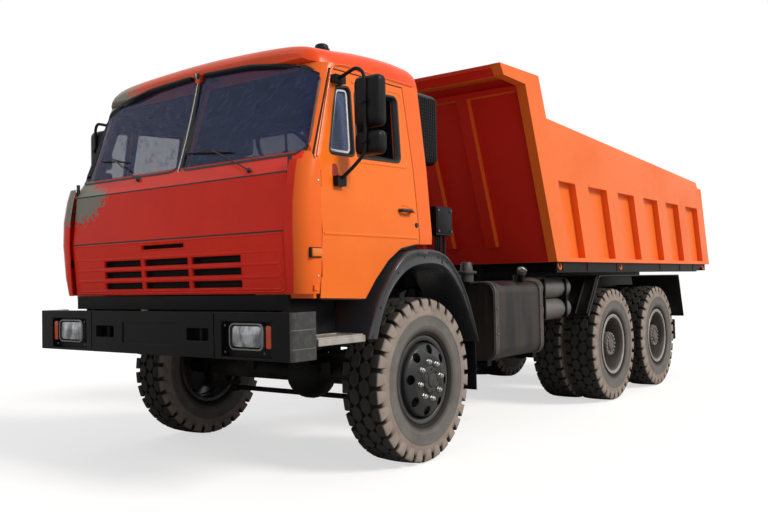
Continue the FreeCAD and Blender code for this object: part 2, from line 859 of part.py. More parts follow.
door_hinge_x = 1205.0
door_hinge_station = -1041.0
door_hinge_pin = 4.0
door_hinge_levels = [1260.0, 1785.0]
window_main = [(-647, 2004), (-602, 2437), (-150, 2460), (-188, 2018)]
window_vent = [(-912, 2000), (-785, 2425), (-655, 2438), (-680, 2006)]


def door():
    shell = cab_block(0, cab_roof_line).cut(cab_block(wall - 10.0, cab_roof_line + 100.0))
    slab = shell.common(door_space(0))
    holes = [prism(window_main, "x", 900.0, 1300.0), prism(window_vent, "x", 900.0, 1300.0)]
    handle = rod(11.0, V(1222.0, -190.0, 1690.0), V(1222.0, -60.0, 1690.0))
    studs = [rod(9.0, V(1150.0, y, 1690.0), V(1222.0, y, 1690.0)) for y in (-175.0, -75.0)]
    hinges = []
    for z in door_hinge_levels:
        foot = V(door_hinge_x, door_hinge_station, z)
        hinges.append(rod(door_hinge_pin, foot, foot + V(0, 0, 95.0)))
        leaf = box(1150.0, door_hinge_x, door_hinge_station - 1.0, door_hinge_station + 14.0, z, z + 60.0)
        hinges.append(leaf.cut(cab_block(skin - 8.0, cab_roof_line)))
    return fuse(slab.cut(holes), handle, *(studs + hinges))


def pane(points, inset, thickness):
    block = cab_block(inset, cab_roof_line).cut(cab_block(inset + thickness, cab_roof_line + 100.0))
    return block.common(prism(points, "x", 900.0, 1300.0))


mirror_arm_x = 1345.0


def mirror():
    arm = mirror_arm_x
    points = [V(1198, -860, 1838), V(arm - 60, -850, 1900), V(arm, -800, 1990), V(arm, -800, 2470),
              V(arm - 45, -812, 2508), V(1140, -790, 2468)]
    pieces = [rod(11.0, a, b + (b - a).normalize() * 5.0) for a, b in zip(points, points[1:])]
    pieces.append(box(1140.0, 1215.0, -900.0, -820.0, 1800.0, 1860.0).cut(cab_block(-seat, cab_roof_line)))
    pieces.append(box(1090.0, 1155.0, -830.0, -735.0, 2442.0, 2490.0).cut(cab_block(-seat, cab_roof_line)))
    for low, high in ((2150.0, 2462.0), (1985.0, 2125.0)):
        pieces.append(rounded_box(arm - 100.0, arm + 98.0, -792.0, -715.0, low, high, 32.0))
    return fuse(*pieces)


# Windscreen panes on both sides of the centre bar, and the rear window

screen_inner = 25.0
rear_screen = 700.0
rear_screen_low = 1980.0
rear_screen_high = 2420.0


def screen_outline(gap):
    return [(screen_inner + gap, screen_low + gap), (1060.0 - gap, screen_low + gap),
            (1108.0 - gap, screen_low + 55.0),
            (1066.0 - gap, screen_high - 150.0), (940.0 - gap, screen_high - 85.0 - gap),
            (500.0, screen_high - 18.0 - gap), (screen_inner + gap, screen_high - gap)]


def cab_lug():
    lug = box(hinge_lug, hinge_lug + 25.0, cab_hinge_station - 30.0, cab_hinge_station + 30.0,
              cab_hinge_height - 32.0,
              1160.0)
    return lug.cut(rod(cab_pin_radius + running, V(0, cab_hinge_station, cab_hinge_height),
                       V(1000, cab_hinge_station, cab_hinge_height)))


def door_lugs():
    lugs = []
    for z in door_hinge_levels:
        lug = box(1120.0, door_hinge_x + 6.0, door_hinge_station - 9.0, door_hinge_station + 6.0, z + 66.0,
                  z + 86.0)
        foot = V(door_hinge_x, door_hinge_station, z)
        lugs += pair(lug.cut(rod(door_hinge_pin + running, foot, foot + V(0, 0, 100.0))))
    return lugs


def cab_supports():
    pieces = []
    beam = box(rail_outer, hinge_lug - 8.0, cab_hinge_station - 28.0, cab_hinge_station + 28.0,
               cab_hinge_height - 70.0,
               cab_hinge_height + 15.0)
    pin = rod(cab_pin_radius, V(hinge_lug - 20.0, cab_hinge_station, cab_hinge_height),
              V(hinge_lug + 35.0, cab_hinge_station, cab_hinge_height))
    post = box(rail_outer - 60.0, rail_outer - 5.0, 40.0, 100.0, rail_top, cab_floor - seat)
    return pair(fuse(beam, pin)) + pair(post)


def cab_shell():
    inner = cab_block(wall, cab_roof_line + 200.0)
    core = cab_block(skin, cab_roof_line)
    rear_part = cab_block(0, cab_roof_line).common(box(-1300, 1300, door_front - 6.0, 500, 0, 3000))
    body = fuse(core, rear_part)
    body = body.cut(side_cut(0))
    room = inner.cut(box(-1300, 1300, -2000, 500, 0, cab_floor + 40.0))
    sides = ((860, 1135), (-1135, -860))
    wells = [box(a, b, door_front + 10.0, -640.0, 1185.0, cab_floor + 60.0) for a, b in sides]
    tunnel = box(-800.0, 800.0, -1095.0, 400.0, 1000.0, cab_floor)
    mouth = box(-760.0, 760.0, -1300.0, -1000.0, 1000.0, 1500.0)
    screens = pair(prism(screen_outline(0), "y", -1300.0, -700.0))
    rear_window = box(-rear_screen, rear_screen, 0.0, 300.0, rear_screen_low, rear_screen_high)
    body = body.cut([room, tunnel, mouth, rear_window] + wells + screens)
    for opening in pair(door_space(door_gap)):
        body = body.cut(opening)
    return fuse(body, *(pair(cab_lug()) + door_lugs()))


# Roof sections from front to rear, each a station with its half outline from the gutter to the crown

roof_sections = [
    (-915.0, [(960, 30), (950, 44), (900, 60), (760, 76), (480, 92), (0, 102)]),
    (-890.0, [(1005, 10), (996, 50), (950, 84), (820, 110), (520, 130), (0, 142)]),
    (-850.0, [(1045, 0), (1038, 56), (990, 98), (880, 134), (580, 158), (0, 176)]),
    (-700.0, [(1080, 0), (1074, 60), (1030, 102), (920, 136), (620, 186), (0, 218)]),
    (-450.0, [(1092, 0), (1087, 78), (1050, 122), (950, 158), (640, 198), (0, 226)]),
    (-150.0, [(1099, 0), (1095, 88), (1058, 134), (958, 170), (658, 206), (0, 230)]),
    (cab_rear, [(1100, 0), (1095, 50), (1060, 120), (960, 164), (660, 192), (0, 212)]),
]


def roof_faces(near, far):
    faces = []
    for i in range(len(near)):
        j = (i + 1) % len(near)
        faces.append([near[i], near[j], far[j]])
        faces.append([near[i], far[j], far[i]])
    return faces


def cab_roof():
    rings = []
    for station, outline in roof_sections:
        right = [V(x, station, cab_roof_line + seat + z) for x, z in outline]
        rings.append(right + [V(-point.x, point.y, point.z) for point in reversed(right[:-1])])
    loops = [rings[0], rings[-1]]
    for near, far in zip(rings, rings[1:]):
        loops += roof_faces(near, far)
    shell = Part.Solid(Part.Shell([Part.Face(Part.makePolygon(loop + loop[:1])) for loop in loops]))
    if shell.Volume < 0:
        shell.reverse()
    cavity = box(-1020.0, 1020.0, -800.0, cab_rear - 60.0, cab_roof_line - 1.0, cab_roof_line + 60.0)
    return shell.cut([cavity] + pair(prism(screen_outline(0), "y", -1300.0, -790.0)))


# Air deflectors standing round the cab's front corners, with open slots behind them

deflector_levels = [(1165.0, 1190.0, -1188.0), (1300.0, 1208.0, -1203.0), (1530.0, 1216.0, -1217.0),
                    (1700.0, 1216.0, -1212.0), (1850.0, 1213.0, -1186.0), (1940.0, 1208.0, -1160.0)]
deflector_inner = 1068.0
deflector_rear = -1054.0
deflector_sheet = 10.0


def deflector():
    def block(inset):
        return stacked([rounded_section(z, half - inset, front + inset, 0.0, 110.0 - inset)
                        for z, half, front in deflector_levels])
    corner = box(deflector_inner, 1300, -1300, deflector_rear, 1000, 2000)
    sheet = block(0).cut(block(deflector_sheet)).common(corner)
    stays = [box(1100.0, 1201.0, -1110.0, -1075.0, z, z + 30.0).cut(cab_block(skin - seat, cab_roof_line))
             for z in (1185.0, 1775.0)]
    return fuse(sheet, *stays)


def front_panels():
    skin_block = cab_block(0, cab_roof_line).cut(cab_block(skin - seat, cab_roof_line + 100.0))
    ahead = box(-1300, 1300, -1400, door_front - 6.0 - seat, 1148.0, 2000.0)
    band = skin_block.common(ahead)
    surround = band.cut(box(-1300, 1300, -1400, -1000, 1000, flap_top + seam))
    flap = band.common(box(-panel_half, panel_half, -1400, -1000, flap_bottom, flap_top))
    grille = band.common(box(-panel_half, panel_half, -1400, -1000, grille_bottom, flap_bottom - seam))
    return [surround] + pair(deflector()), flap, grille_slots(grille)


slot_rows = [(1382.0, 46.0), (1307.0, 46.0), (1230.0, 46.0)]
slot_columns = [(-690.0, -272.0), (-248.0, 205.0), (228.0, 686.0)]


def grille_slots(panel):
    holes = []
    for z, height in slot_rows:
        for x0, x1 in slot_columns:
            holes.append(box(x0, x1, -1300.0, -1100.0, z - height / 2, z + height / 2))
    holes.append(box(-262.0, 170.0, -1300.0, -1100.0, 1470.0, 1496.0))
    return panel.cut(holes)


def cab_glass():
    block = cab_block(wall - 35.0, 2690.0).cut(cab_block(wall - 29.0, 2800.0))
    front = block.common(prism(screen_outline(seat), "y", -1300.0, -700.0)).cut(door_space(door_gap))
    rear = box(-rear_screen + seat, rear_screen - seat, cab_rear - 40.0, cab_rear - 34.0,
               rear_screen_low + seat,
               rear_screen_high - seat)
    return pair(front) + [rear]


def seat_solid(x):
    base = box(x - 260.0, x + 260.0, -560.0, -60.0, cab_floor + 40.0 + seat, cab_floor + 420.0)
    back = prism([(-150, cab_floor + 400), (-30, cab_floor + 400), (40, 2250), (-60, 2250)], "x", x - 250.0,
                 x + 250.0)
    rest = box(x - 150.0, x + 150.0, -55.0, 35.0, 2240.0, 2420.0)
    return fuse(base, back, rest)


def dashboard():
    shelf = prism([(-1000, 1700), (-760, 1740), (-740, 1900), (-850, 1985), (-1000, 1985)], "x", -1060.0,
                  1060.0)
    pedestal = box(-180.0, 180.0, -1000.0, -760.0, cab_floor + 40.0 + seat, 1720.0)
    hub = V(560.0, -640.0, 2090.0)
    run = V(0, 0.737, 0.676)
    column = rod(28.0, hub - run * 300.0, hub)
    ring = [(-14.0, [225.0]), (-10.0, [235.0]), (10.0, [235.0]), (14.0, [225.0]), (10.0, [215.0]),
            (-10.0, [215.0])]
    wheel = faceted_ring(ring, 24)
    bars = [rod(9.0, V(0, 0, 0), V(0, 222.0 * math.cos(a), 222.0 * math.sin(a))) for a in (-0.5, 2.1, 4.7)]
    wheel = fuse(wheel, *bars)
    wheel.rotate(V(0, 0, 0), UP, 90.0)
    wheel.rotate(V(0, 0, 0), ACROSS, math.degrees(math.asin(run.z)))
    wheel.translate(hub)
    return fuse(shelf, pedestal, column, wheel)


def cab():
    surround, flap, grille = front_panels()
    keep("cab_shell", cab_shell())
    keep("cab_roof", cab_roof())
    keep("front_surround", *surround)
    keep("front_flap", flap)
    keep("grille_panel", grille)
    keep("cab_glass", *cab_glass())
    keep("seats", seat_solid(560.0), seat_solid(-560.0))
    keep("dashboard", dashboard())
    leaf = door()
    keep("door_left", leaf)
    keep("door_right", flip(leaf))
    vent = pane(window_vent, 25.0, 5.0)
    keep("door_glass_left", vent)
    keep("door_glass_right", flip(vent), flip(pane(window_main, 25.0, 5.0)))
    arms = mirror()
    keep("mirror_left", arms)
    keep("mirror_right", flip(arms))


# Dump body

def lean(angle, z):
    return -math.tan(math.radians(angle)) * (z - bed_bottom)


post_front = 2030.0
post_width = 280.0
visor_tip = 1063.0
visor_high = 2928.0
visor_low = visor_high - 86.0
end_top = visor_high + 21.0
end_rear = 1746.0
plate_outer = bed_inner + bed_plate
rear_post = 275.0
gate_gap = 8.0


def slanted(y, width, z0, z1, angle, x0, x1):
    y0 = y + lean(angle, z0)
    y1 = y + lean(angle, z1)
    return prism([(y0, z0), (y0 + width, z0), (y1 + width, z1), (y1, z1)], "x", x0, x1)


def bed_side():
    top = visor_low - 7.0
    knee = bed_rear + lean(rib_rake, rib_top)
    plate = prism([(post_front, bed_bottom), (bed_rear, bed_bottom),
                   (bed_rear + lean(rib_rake, band_top) - 10.0, band_top),
                   (post_front + lean(front_rake, band_top) + 20.0, band_top)], "x", bed_inner, plate_outer)
    post = prism([(post_front, bed_bottom), (post_front + post_width, bed_bottom), (2083.0, 2100.0),
                  (end_rear, end_top),
                  (visor_tip, visor_high), (visor_tip + 63.0, visor_low),
                  (post_front + lean(front_rake, top), top)],
                 "x", plate_outer, bed_half)
    gusset = prism([(post_front, bed_bottom), (post_front + post_width, bed_bottom), (2083.0, 2100.0),
                    (end_rear, end_top), (visor_tip, visor_high), (visor_tip + 63.0, visor_low),
                    (post_front + lean(front_rake, top), top)], "x", bed_inner, plate_outer)
    band = prism([(2060.0, rib_top), (knee - rear_post, rib_top),
                  (bed_rear + lean(rib_rake, band_top) - rear_post, band_top),
                  (1980.0, band_top)], "x", plate_outer, bed_half)
    lift = prism([(bed_inner, band_top - 1.0), (bed_half, band_top - 1.0), (bed_half, band_top),
                  (bed_inner + 28.0, 2640.0),
                  (bed_inner, 2640.0)], "y", 1700.0, bed_rear - 420.0)
    crown = prism([(1700, band_top - 1.0), (bed_rear - 430.0, band_top - 1.0), (bed_rear - 450.0, 2425),
                   (2000, 2632),
                   (1700, 2645)], "x", 1100.0, 1300.0)
    board = lift.common(crown)
    flange = box(plate_outer, bed_half, post_front + 100.0, bed_rear - 60.0, bed_bottom, bed_bottom + 38.0)
    ribs = []
    for i in range(rib_count):
        base = rib_first + i * rib_pitch - lean(rib_rake, rib_top)
        ribs.append(slanted(base, rib_width, bed_bottom, rib_top, rib_rake, plate_outer, bed_half))
    tail = slanted(bed_rear - rear_post, rear_post, bed_bottom, band_top + 5.0, rib_rake, bed_inner - 45.0,
                   bed_half)
    return fuse(plate, post, gusset, band, board, flange, tail, *ribs)


front_wall_setback = 60.0


def visor_line(y):
    return visor_high + (end_top - visor_high) * (y - visor_tip) / (end_rear - visor_tip)


def bed_front():
    inner = bed_inner - seat
    y = post_front + front_wall_setback
    wall_top = visor_line(y + lean(front_rake, visor_high)) - 12.0
    beam_low = visor_low - 45.0
    wall_plate = slanted(y, 25.0, bed_bottom, wall_top, front_rake, -inner, inner)
    ribs = []
    for x in (-622.0, -165.0, 165.0, 622.0):
        ribs.append(slanted(post_front, front_wall_setback + 5.0, 1520.0, beam_low + 10.0, front_rake,
                            x - 55.0, x + 55.0))
    beam = slanted(post_front, front_wall_setback + 5.0, beam_low, visor_low, front_rake, -inner, inner)
    roof = prism([(visor_tip, visor_high), (end_rear, end_top), (end_rear, end_top - 25.0),
                  (visor_tip, visor_high - 25.0)],
                 "x", -inner, inner)
    lip = prism([(visor_tip, visor_high), (visor_tip + 63.0, visor_low), (visor_tip + 88.0, visor_low),
                 (visor_tip + 25.0, visor_high)], "x", -inner, inner)
    return fuse(wall_plate, beam, roof, lip, *ribs)


def bed_floor():
    return prism([(post_front + front_wall_setback + 25.0 + seat, bed_floor_top),
                  (post_front + front_wall_setback + 40.0, bed_bottom + seat),
                  (bed_rear - 30.0, bed_bottom + seat), (bed_rear - 30.0, bed_floor_top)],
                 "x", -bed_inner + 45.0 + seat, bed_inner - 45.0 - seat)


bearer_stations = [2240.0, 2800.0, 3560.0, 4900.0, 5640.0, 6180.0, 6640.0]
bearer_depth = 80.0


def bed_frame():
    pieces = pair(box(sub_inner, sub_outer, sub_front + 20.0, tip_station + 100.0, sub_top + seat,
                      bed_bottom))
    for y in bearer_stations:
        pieces.append(box(-bed_half + 30.0, bed_half - 30.0, y - 35.0, y + 35.0, bed_bottom - bearer_depth,
                          bed_bottom))
    low = bed_bottom - bearer_depth - 15.0
    sill = prism([(post_front + 60.0, bed_bottom), (post_front + 60.0, low), (bed_rear - 480.0, low),
                  (bed_rear - 110.0, bed_bottom)], "x", bed_half - 60.0, bed_half - 35.0)
    pieces += pair(sill)
    ear = prism([(tip_station - 95.0, sub_top + 40.0), (tip_station - 60.0, tip_height),
                 (tip_station - 30.0, tip_height - 50.0),
                 (tip_station + 30.0, tip_height - 50.0), (tip_station + 60.0, tip_height),
                 (tip_station + 95.0, sub_top + 40.0)],
                "x", sub_inner + 5.0, sub_outer - 37.0)
    hole = rod(tip_shaft_radius + running, V(-600, tip_station, tip_height), V(600, tip_station, tip_height))
    pieces += pair(ear)
    ears = box(62.0, 85.0, ram_station - 55.0, ram_station + 55.0, eye_height - 30.0, bed_bottom)
    stub = rod(15.0, V(eye_half + 5.0, ram_station, eye_height), V(70.0, ram_station, eye_height))
    pieces += pair(fuse(ears, stub))
    pieces += [box(-sub_inner, sub_inner, ram_station - 60.0, ram_station + 60.0, bed_bottom - 12.0,
                   bed_bottom)]
    return fuse(*pieces).cut(hole)


gate_axis_station = bed_rear + lean(rib_rake, gate_axis_height) - 75.0


def tailgate():
    half = bed_inner - 45.0 - gate_gap
    y = bed_rear - 95.0
    face = slanted(y, 40.0, bed_floor_top + gate_gap, band_top + 5.0, rib_rake, -half, half)
    pieces = [face]
    for i in range(5):
        x = -half + 50.0 + i * (2 * half - 100.0) / 4
        pieces.append(slanted(y, 85.0, bed_floor_top + 20.0, band_top - 5.0, rib_rake, x - 45.0, x + 45.0))
    for z in (bed_floor_top + 20.0, band_top - 90.0):
        pieces.append(slanted(y, 85.0, z, z + 90.0, rib_rake, -half, half))
    arm = rod(40.0, V(half - 70.0, gate_axis_station, gate_axis_height),
              V(half, gate_axis_station, gate_axis_height))
    web = slanted(y, 85.0, band_top - 20.0, gate_axis_height, rib_rake, half - 70.0, half)
    gate = fuse(*(pieces + pair(arm) + pair(web)))
    bore = rod(22.0 + running, V(-1300, gate_axis_station, gate_axis_height),
               V(1300, gate_axis_station, gate_axis_height))
    return gate.cut(bore)


def gate_hinges():
    half = bed_inner - 45.0
    pin = rod(22.0, V(half - 70.0, gate_axis_station, gate_axis_height),
              V(half + 20.0, gate_axis_station, gate_axis_height))
    cheek = slanted(bed_rear - rear_post + 60.0, rear_post - 80.0, band_top + 4.0, gate_axis_height + 38.0,
                    rib_rake,
                    half, half + 60.0)
    return fuse(pin, cheek)


def dump_body():
    side = fuse(bed_side(), gate_hinges())
    keep("bed_sides", *pair(side))
    keep("bed_front", bed_front())
    keep("bed_floor", bed_floor())
    keep("bed_frame", bed_frame())
    keep("tailgate", tailgate())


# Lifting ram with three stages

def ram():
    base = V(0, ram_station, ram_base)
    barrel = rod(ram_radius, base, V(0, ram_station, ram_top - 12.0))
    barrel = barrel.cut(rod(ram_radius - ram_step, V(0, ram_station, ram_base + 15.0),
                            V(0, ram_station, ram_top)))
    pins = rod(trunnion_radius, V(-155.0, ram_station, ram_height), V(155.0, ram_station, ram_height))
    pins = pins.cut(rod(ram_radius - 5.0, base, V(0, ram_station, ram_top)))
    keep("lift_barrel", fuse(barrel, pins))
    for number in (1, 2, 3):
        outer = ram_radius - number * ram_step - running * number
        top = ram_top - 12.0 + 4.0 * number if number < 3 else eye_height - 12.0
        tube = rod(outer, V(0, ram_station, ram_base + 15.0 + seat + 12.0 * (number - 1)),
                   V(0, ram_station, top))
        if number < 3:
            bore = rod(outer - ram_step, V(0, ram_station, ram_base + 27.0 + 12.0 * (number - 1)),
                       V(0, ram_station, ram_top + 20.0))
            tube = tube.cut(bore)
        else:
            eye = rod(34.0, V(-eye_half, ram_station, eye_height), V(eye_half, ram_station, eye_height))
            hole = rod(16.0, V(-60, ram_station, eye_height), V(60, ram_station, eye_height))
            tube = fuse(tube, eye).cut(hole)
        keep("lift_stage_%d" % number, tube)


def build():
    os.makedirs("parts", exist_ok=True)
    frame()
    keep("sub_frame", sub_frame())
    signal = front_end()
    keep("engine", engine(), radiator())
    running_gear()
    wheels()
    side_gear()
    guards(signal)
    cab()
    dump_body()
    ram()


build()
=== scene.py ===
import bmesh
import bpy
import json
import math
from mathutils import Matrix, Vector
from mathutils.bvhtree import BVHTree

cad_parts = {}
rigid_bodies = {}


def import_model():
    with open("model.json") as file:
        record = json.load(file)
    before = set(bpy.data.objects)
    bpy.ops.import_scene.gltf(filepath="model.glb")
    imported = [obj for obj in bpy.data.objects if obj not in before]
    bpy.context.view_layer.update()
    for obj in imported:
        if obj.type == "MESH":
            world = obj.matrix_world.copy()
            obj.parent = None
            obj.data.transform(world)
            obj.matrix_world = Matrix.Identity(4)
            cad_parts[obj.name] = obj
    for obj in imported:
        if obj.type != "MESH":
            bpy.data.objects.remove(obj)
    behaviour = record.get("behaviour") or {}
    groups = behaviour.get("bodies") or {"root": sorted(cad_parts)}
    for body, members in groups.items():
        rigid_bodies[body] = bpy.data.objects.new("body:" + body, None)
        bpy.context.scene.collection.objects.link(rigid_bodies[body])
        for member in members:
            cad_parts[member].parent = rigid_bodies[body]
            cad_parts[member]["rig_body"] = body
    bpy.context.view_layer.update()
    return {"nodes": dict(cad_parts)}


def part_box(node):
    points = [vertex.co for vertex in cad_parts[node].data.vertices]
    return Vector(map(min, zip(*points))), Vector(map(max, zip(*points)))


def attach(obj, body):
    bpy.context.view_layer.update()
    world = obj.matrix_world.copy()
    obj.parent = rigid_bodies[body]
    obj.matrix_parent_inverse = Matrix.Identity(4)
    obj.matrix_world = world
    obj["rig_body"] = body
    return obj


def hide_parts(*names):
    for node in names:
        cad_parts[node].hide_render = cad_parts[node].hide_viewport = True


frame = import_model()
nodes = frame["nodes"]


# Studio: a pale floor, a soft sky and one large soft lamp on the vehicle's left.
# The camera stands at the photograph's place, beside the left front corner.

def material(name):
    made = bpy.data.materials.new(name)
    made.use_nodes = True
    tree = made.node_tree
    return made, tree.nodes, tree.links, tree.nodes["Principled BSDF"]


def given(node, values):
    # Sets a node's inputs by name
    for socket, value in values.items():
        node.inputs[socket].default_value = value


def wire(links, *runs):
    # Each run is a node, its output, the node it goes to and that node's input
    for one, out, two, into in runs:
        links.new(one.outputs[out], two.inputs[into])


def maths(nodes, operation, clamp=False):
    made = nodes.new("ShaderNodeMath")
    made.operation = operation
    made.use_clamp = clamp
    return made


def place(name, data):
    piece = bpy.data.objects.new(name, data)
    bpy.context.scene.collection.objects.link(piece)
    return piece


def studio_camera():
    eye = Vector((4.3111, -7.34, 1.2277))
    yaw, pitch, roll = 0.6392, 0.0308, -0.0197
    ahead = Vector((-math.sin(yaw) * math.cos(pitch), math.cos(yaw) * math.cos(pitch), math.sin(pitch)))
    right = ahead.cross(Vector((0, 0, 1))).normalized()
    up = right.cross(ahead)
    level = right * math.cos(roll) + up * math.sin(roll)
    upright = up * math.cos(roll) - right * math.sin(roll)
    lens = bpy.data.cameras.new("camera")
    lens.sensor_width = 36.0
    lens.lens = 38.48
    lens.clip_end = 200.0
    camera = place("camera", lens)
    turn = Matrix((level, upright, -ahead)).transposed().to_4x4()
    camera.matrix_world = Matrix.Translation(eye) @ turn
    bpy.context.scene.camera = camera


def studio_sky():
    # The camera sees a white sky, and the model is lit by a dimmer one
    sky = bpy.data.worlds.new("studio_sky")
    sky.use_nodes = True
    bpy.context.scene.world = sky
    tree = sky.node_tree.nodes
    seen = tree.new("ShaderNodeBackground")
    given(seen, {"Color": (1, 1, 1, 1)})
    lit = tree["Background"]
    given(lit, {"Color": (0.97, 0.96, 1.0, 1), "Strength": 0.36})
    path = tree.new("ShaderNodeLightPath")
    first = maths(tree, "MAXIMUM")
    most = maths(tree, "MAXIMUM")
    mix = tree.new("ShaderNodeMixShader")
    wire(sky.node_tree.links, (path, "Is Camera Ray", first, 0), (path, "Is Glossy Ray", first, 1),
         (first, 0, most, 0), (path, "Is Transmission Ray", most, 1), (most, 0, mix, 0), (lit, 0, mix, 1),
         (seen, 0, mix, 2), (mix, 0, tree["World Output"], 0))


def studio_lamp():
    lamp = bpy.data.lights.new("key", "SUN")
    lamp.energy = 2.6
    lamp.angle = 0.35
    lamp.color = (1.0, 0.95, 0.86)
    key = place("key", lamp)
    key.rotation_euler = Vector((0.8, 0.16, 0.62)).to_track_quat("Z", "Y").to_euler()


def studio_floor():
    ground = bpy.data.meshes.new("floor")
    reach = 60.0
    corners = [(-reach, -reach, 0), (reach, -reach, 0), (reach, reach, 0), (-reach, reach, 0)]
    ground.from_pydata(corners, [], [(0, 1, 2, 3)])
    floor = place("floor", ground)
    pale, tree, links, shader = material("studio_floor")
    given(shader, {"Base Color": (0.5, 0.5, 0.5, 1), "Roughness": 0.95, "Emission Color": (1, 1, 1, 1)})
    path = tree.new("ShaderNodeLightPath")
    lift = maths(tree, "MULTIPLY")
    lift.inputs[1].default_value = 0.62
    wire(links, (path, "Is Camera Ray", lift, 0), (lift, 0, shader, "Emission Strength"))
    floor.data.materials.append(pale)


bpy.context.scene.view_settings.view_transform = "Standard"
studio_camera()
studio_sky()
studio_lamp()
studio_floor()


# Ladder frame, sub frame and brackets: pressed and welded steel in black chassis paint, dusty with road dirt.
# Each pressing keeps the form of its solid, with its edges rounded as rolled steel has them.

front_axle = sum(corner[1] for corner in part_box("tyre_front_left")) / 2


def at(x, y, z):
    # A place on the vehicle, with y counted from the front axle
    return Vector((x, y + front_axle, z))


LEFT = Vector((1, 0, 0))
FORWARD = Vector((0, -1, 0))
UP = Vector((0, 0, 1))


def group(name, kind, inputs, outputs):
    # A node group; each of its sockets is a name, a kind and, where it has one, a starting value
    tree = bpy.data.node_groups.new(name, kind)
    for way, rows in (("INPUT", inputs), ("OUTPUT", outputs)):
        for title, sort, *value in rows:
            socket = tree.interface.new_socket(title, in_out=way, socket_type="NodeSocket" + sort)
            if value:
                socket.default_value = value[0]
    node = tree.nodes
    return tree, node, node.new("NodeGroupInput"), node.new("NodeGroupOutput")


def dust_and_sheen_group():
    # Dust in soft clouds, drawn out into streaks, and thicker below the height that the wheels' spray
    # reaches. On the headlamp glass the same clouds lay a painted reflection instead.
    values = (("Scale", 3.0), ("Low", 0.4), ("High", 0.8), ("Rise", 0.0), ("Splash", 0.0), ("Streak", 1.0))
    floats = [(name, "Float", value) for name, value in values]
    tree, node, into, out = group("dust_and_sheen_mask", "ShaderNodeTree", floats,
                                  [("Mask", "Float"), ("Grain", "Float")])
    spot = node.new("ShaderNodeTexCoord")
    parts = node.new("ShaderNodeSeparateXYZ")
    drawn = maths(node, "MULTIPLY")
    whole = node.new("ShaderNodeCombineXYZ")
    cloud = node.new("ShaderNodeTexNoise")
    given(cloud, {"Detail": 8.0, "Roughness": 0.65})
    grain = node.new("ShaderNodeTexNoise")
    given(grain, {"Scale": 180.0, "Detail": 3.0})
    span = node.new("ShaderNodeMapRange")
    below = maths(node, "SUBTRACT")
    spray = maths(node, "MULTIPLY", True)
    settled = maths(node, "MULTIPLY_ADD", True)
    wire(tree.links, (spot, "Object", parts, 0), (parts, "Z", drawn, 0), (into, "Streak", drawn, 1),
         (parts, "X", whole, "X"), (parts, "Y", whole, "Y"), (drawn, 0, whole, "Z"),
         (whole, 0, cloud, "Vector"), (spot, "Object", grain, "Vector"), (into, "Scale", cloud, "Scale"),
         (cloud, "Fac", span, "Value"), (into, "Low", span, "From Min"), (into, "High", span, "From Max"),
         (into, "Rise", below, 0), (parts, "Z", below, 1), (below, 0, spray, 0), (cloud, "Fac", spray, 1),
         (spray, 0, settled, 0), (into, "Splash", settled, 1), (span, "Result", settled, 2),
         (settled, 0, out, "Mask"), (grain, "Fac", out, "Grain"))
    return tree


def group_node(tree, source, values):
    made = tree.new("ShaderNodeGroup")
    made.node_tree = source
    given(made, values)
    return made


dust_and_sheen_mask = dust_and_sheen_group()


def coated(name, colour, dust_and_sheen, spread, scale, gloss, rough, metal=0.0, coat=0.0, grain=0.02, splash=0.0,
           rise=1.2, streak=1.0, specular=0.4):
    # Paint or metal in its own colour and gloss, with dust laid over it by the group's mask; on the headlamp
    # glass that second colour is a painted reflection.
    made, tree, links, shader = material(name)
    haze = group_node(tree, dust_and_sheen_mask, {"Scale": scale, "Low": spread[0], "High": spread[1], "Rise": rise,
                                        "Splash": splash, "Streak": streak})
    tint = tree.new("ShaderNodeMix")
    tint.data_type = "RGBA"
    tint.inputs[6].default_value = (*colour, 1)
    tint.inputs[7].default_value = (*dust_and_sheen, 1)
    sheen = tree.new("ShaderNodeMapRange")
    given(sheen, {"To Min": gloss, "To Max": rough})
    bump = tree.new("ShaderNodeBump")
    given(bump, {"Strength": grain, "Distance": 0.01})
    wire(links, (haze, "Mask", tint, 0), (tint, 2, shader, "Base Color"), (haze, "Mask", sheen, "Value"),
         (sheen, "Result", shader, "Roughness"), (haze, "Grain", bump, "Height"),
         (bump, "Normal", shader, "Normal"))
    given(shader, {"Metallic": metal, "Coat Weight": coat, "Coat Roughness": 0.12,
                   "Specular IOR Level": specular})
    return made


chassis_black = coated("chassis_black", (0.006, 0.006, 0.0065), (0.045, 0.037, 0.03), (0.52, 1.0), 2.2, 0.42,
                       0.85, grain=0.15, specular=0.08)


def smooth(mesh, degrees=32.0):
    mesh.polygons.foreach_set("use_smooth", [True] * len(mesh.polygons))
    mesh.set_sharp_from_angle(angle=math.radians(degrees))


def made_plain(piece):
    view = bpy.context.evaluated_depsgraph_get()
    solid = bpy.data.meshes.new_from_object(piece.evaluated_get(view), preserve_all_data_layers=True,
                                            depsgraph=view)
    piece.modifiers.clear()
    piece.data = solid
    return piece


def meshed(name, work, finish=None, outward=True):
    # Makes the mesh of a bmesh, with its faces turned outward
    if outward:
        bmesh.ops.recalc_face_normals(work, faces=work.faces)
    mesh = bpy.data.meshes.new(name)
    work.to_mesh(mesh)
    work.free()
    if finish:
        mesh.materials.append(finish)
    return mesh


def joined(work, rows, ring=True, closed=False):
    # Faces from row to row; a ring also joins each row's end to its start
    count = len(rows[0])
    for one, two in list(zip(rows, rows[1:])) + ([(rows[-1], rows[0])] if closed else []):
        for i in range(count if ring else count - 1):
            j = (i + 1) % count
            work.faces.new((one[i], one[j], two[j], two[i]))


def capped(work, rows, ring=True):
    # Rows joined, with a face closing each end
    joined(work, rows, ring)
    work.faces.new(rows[0])
    work.faces.new(rows[-1][::-1])


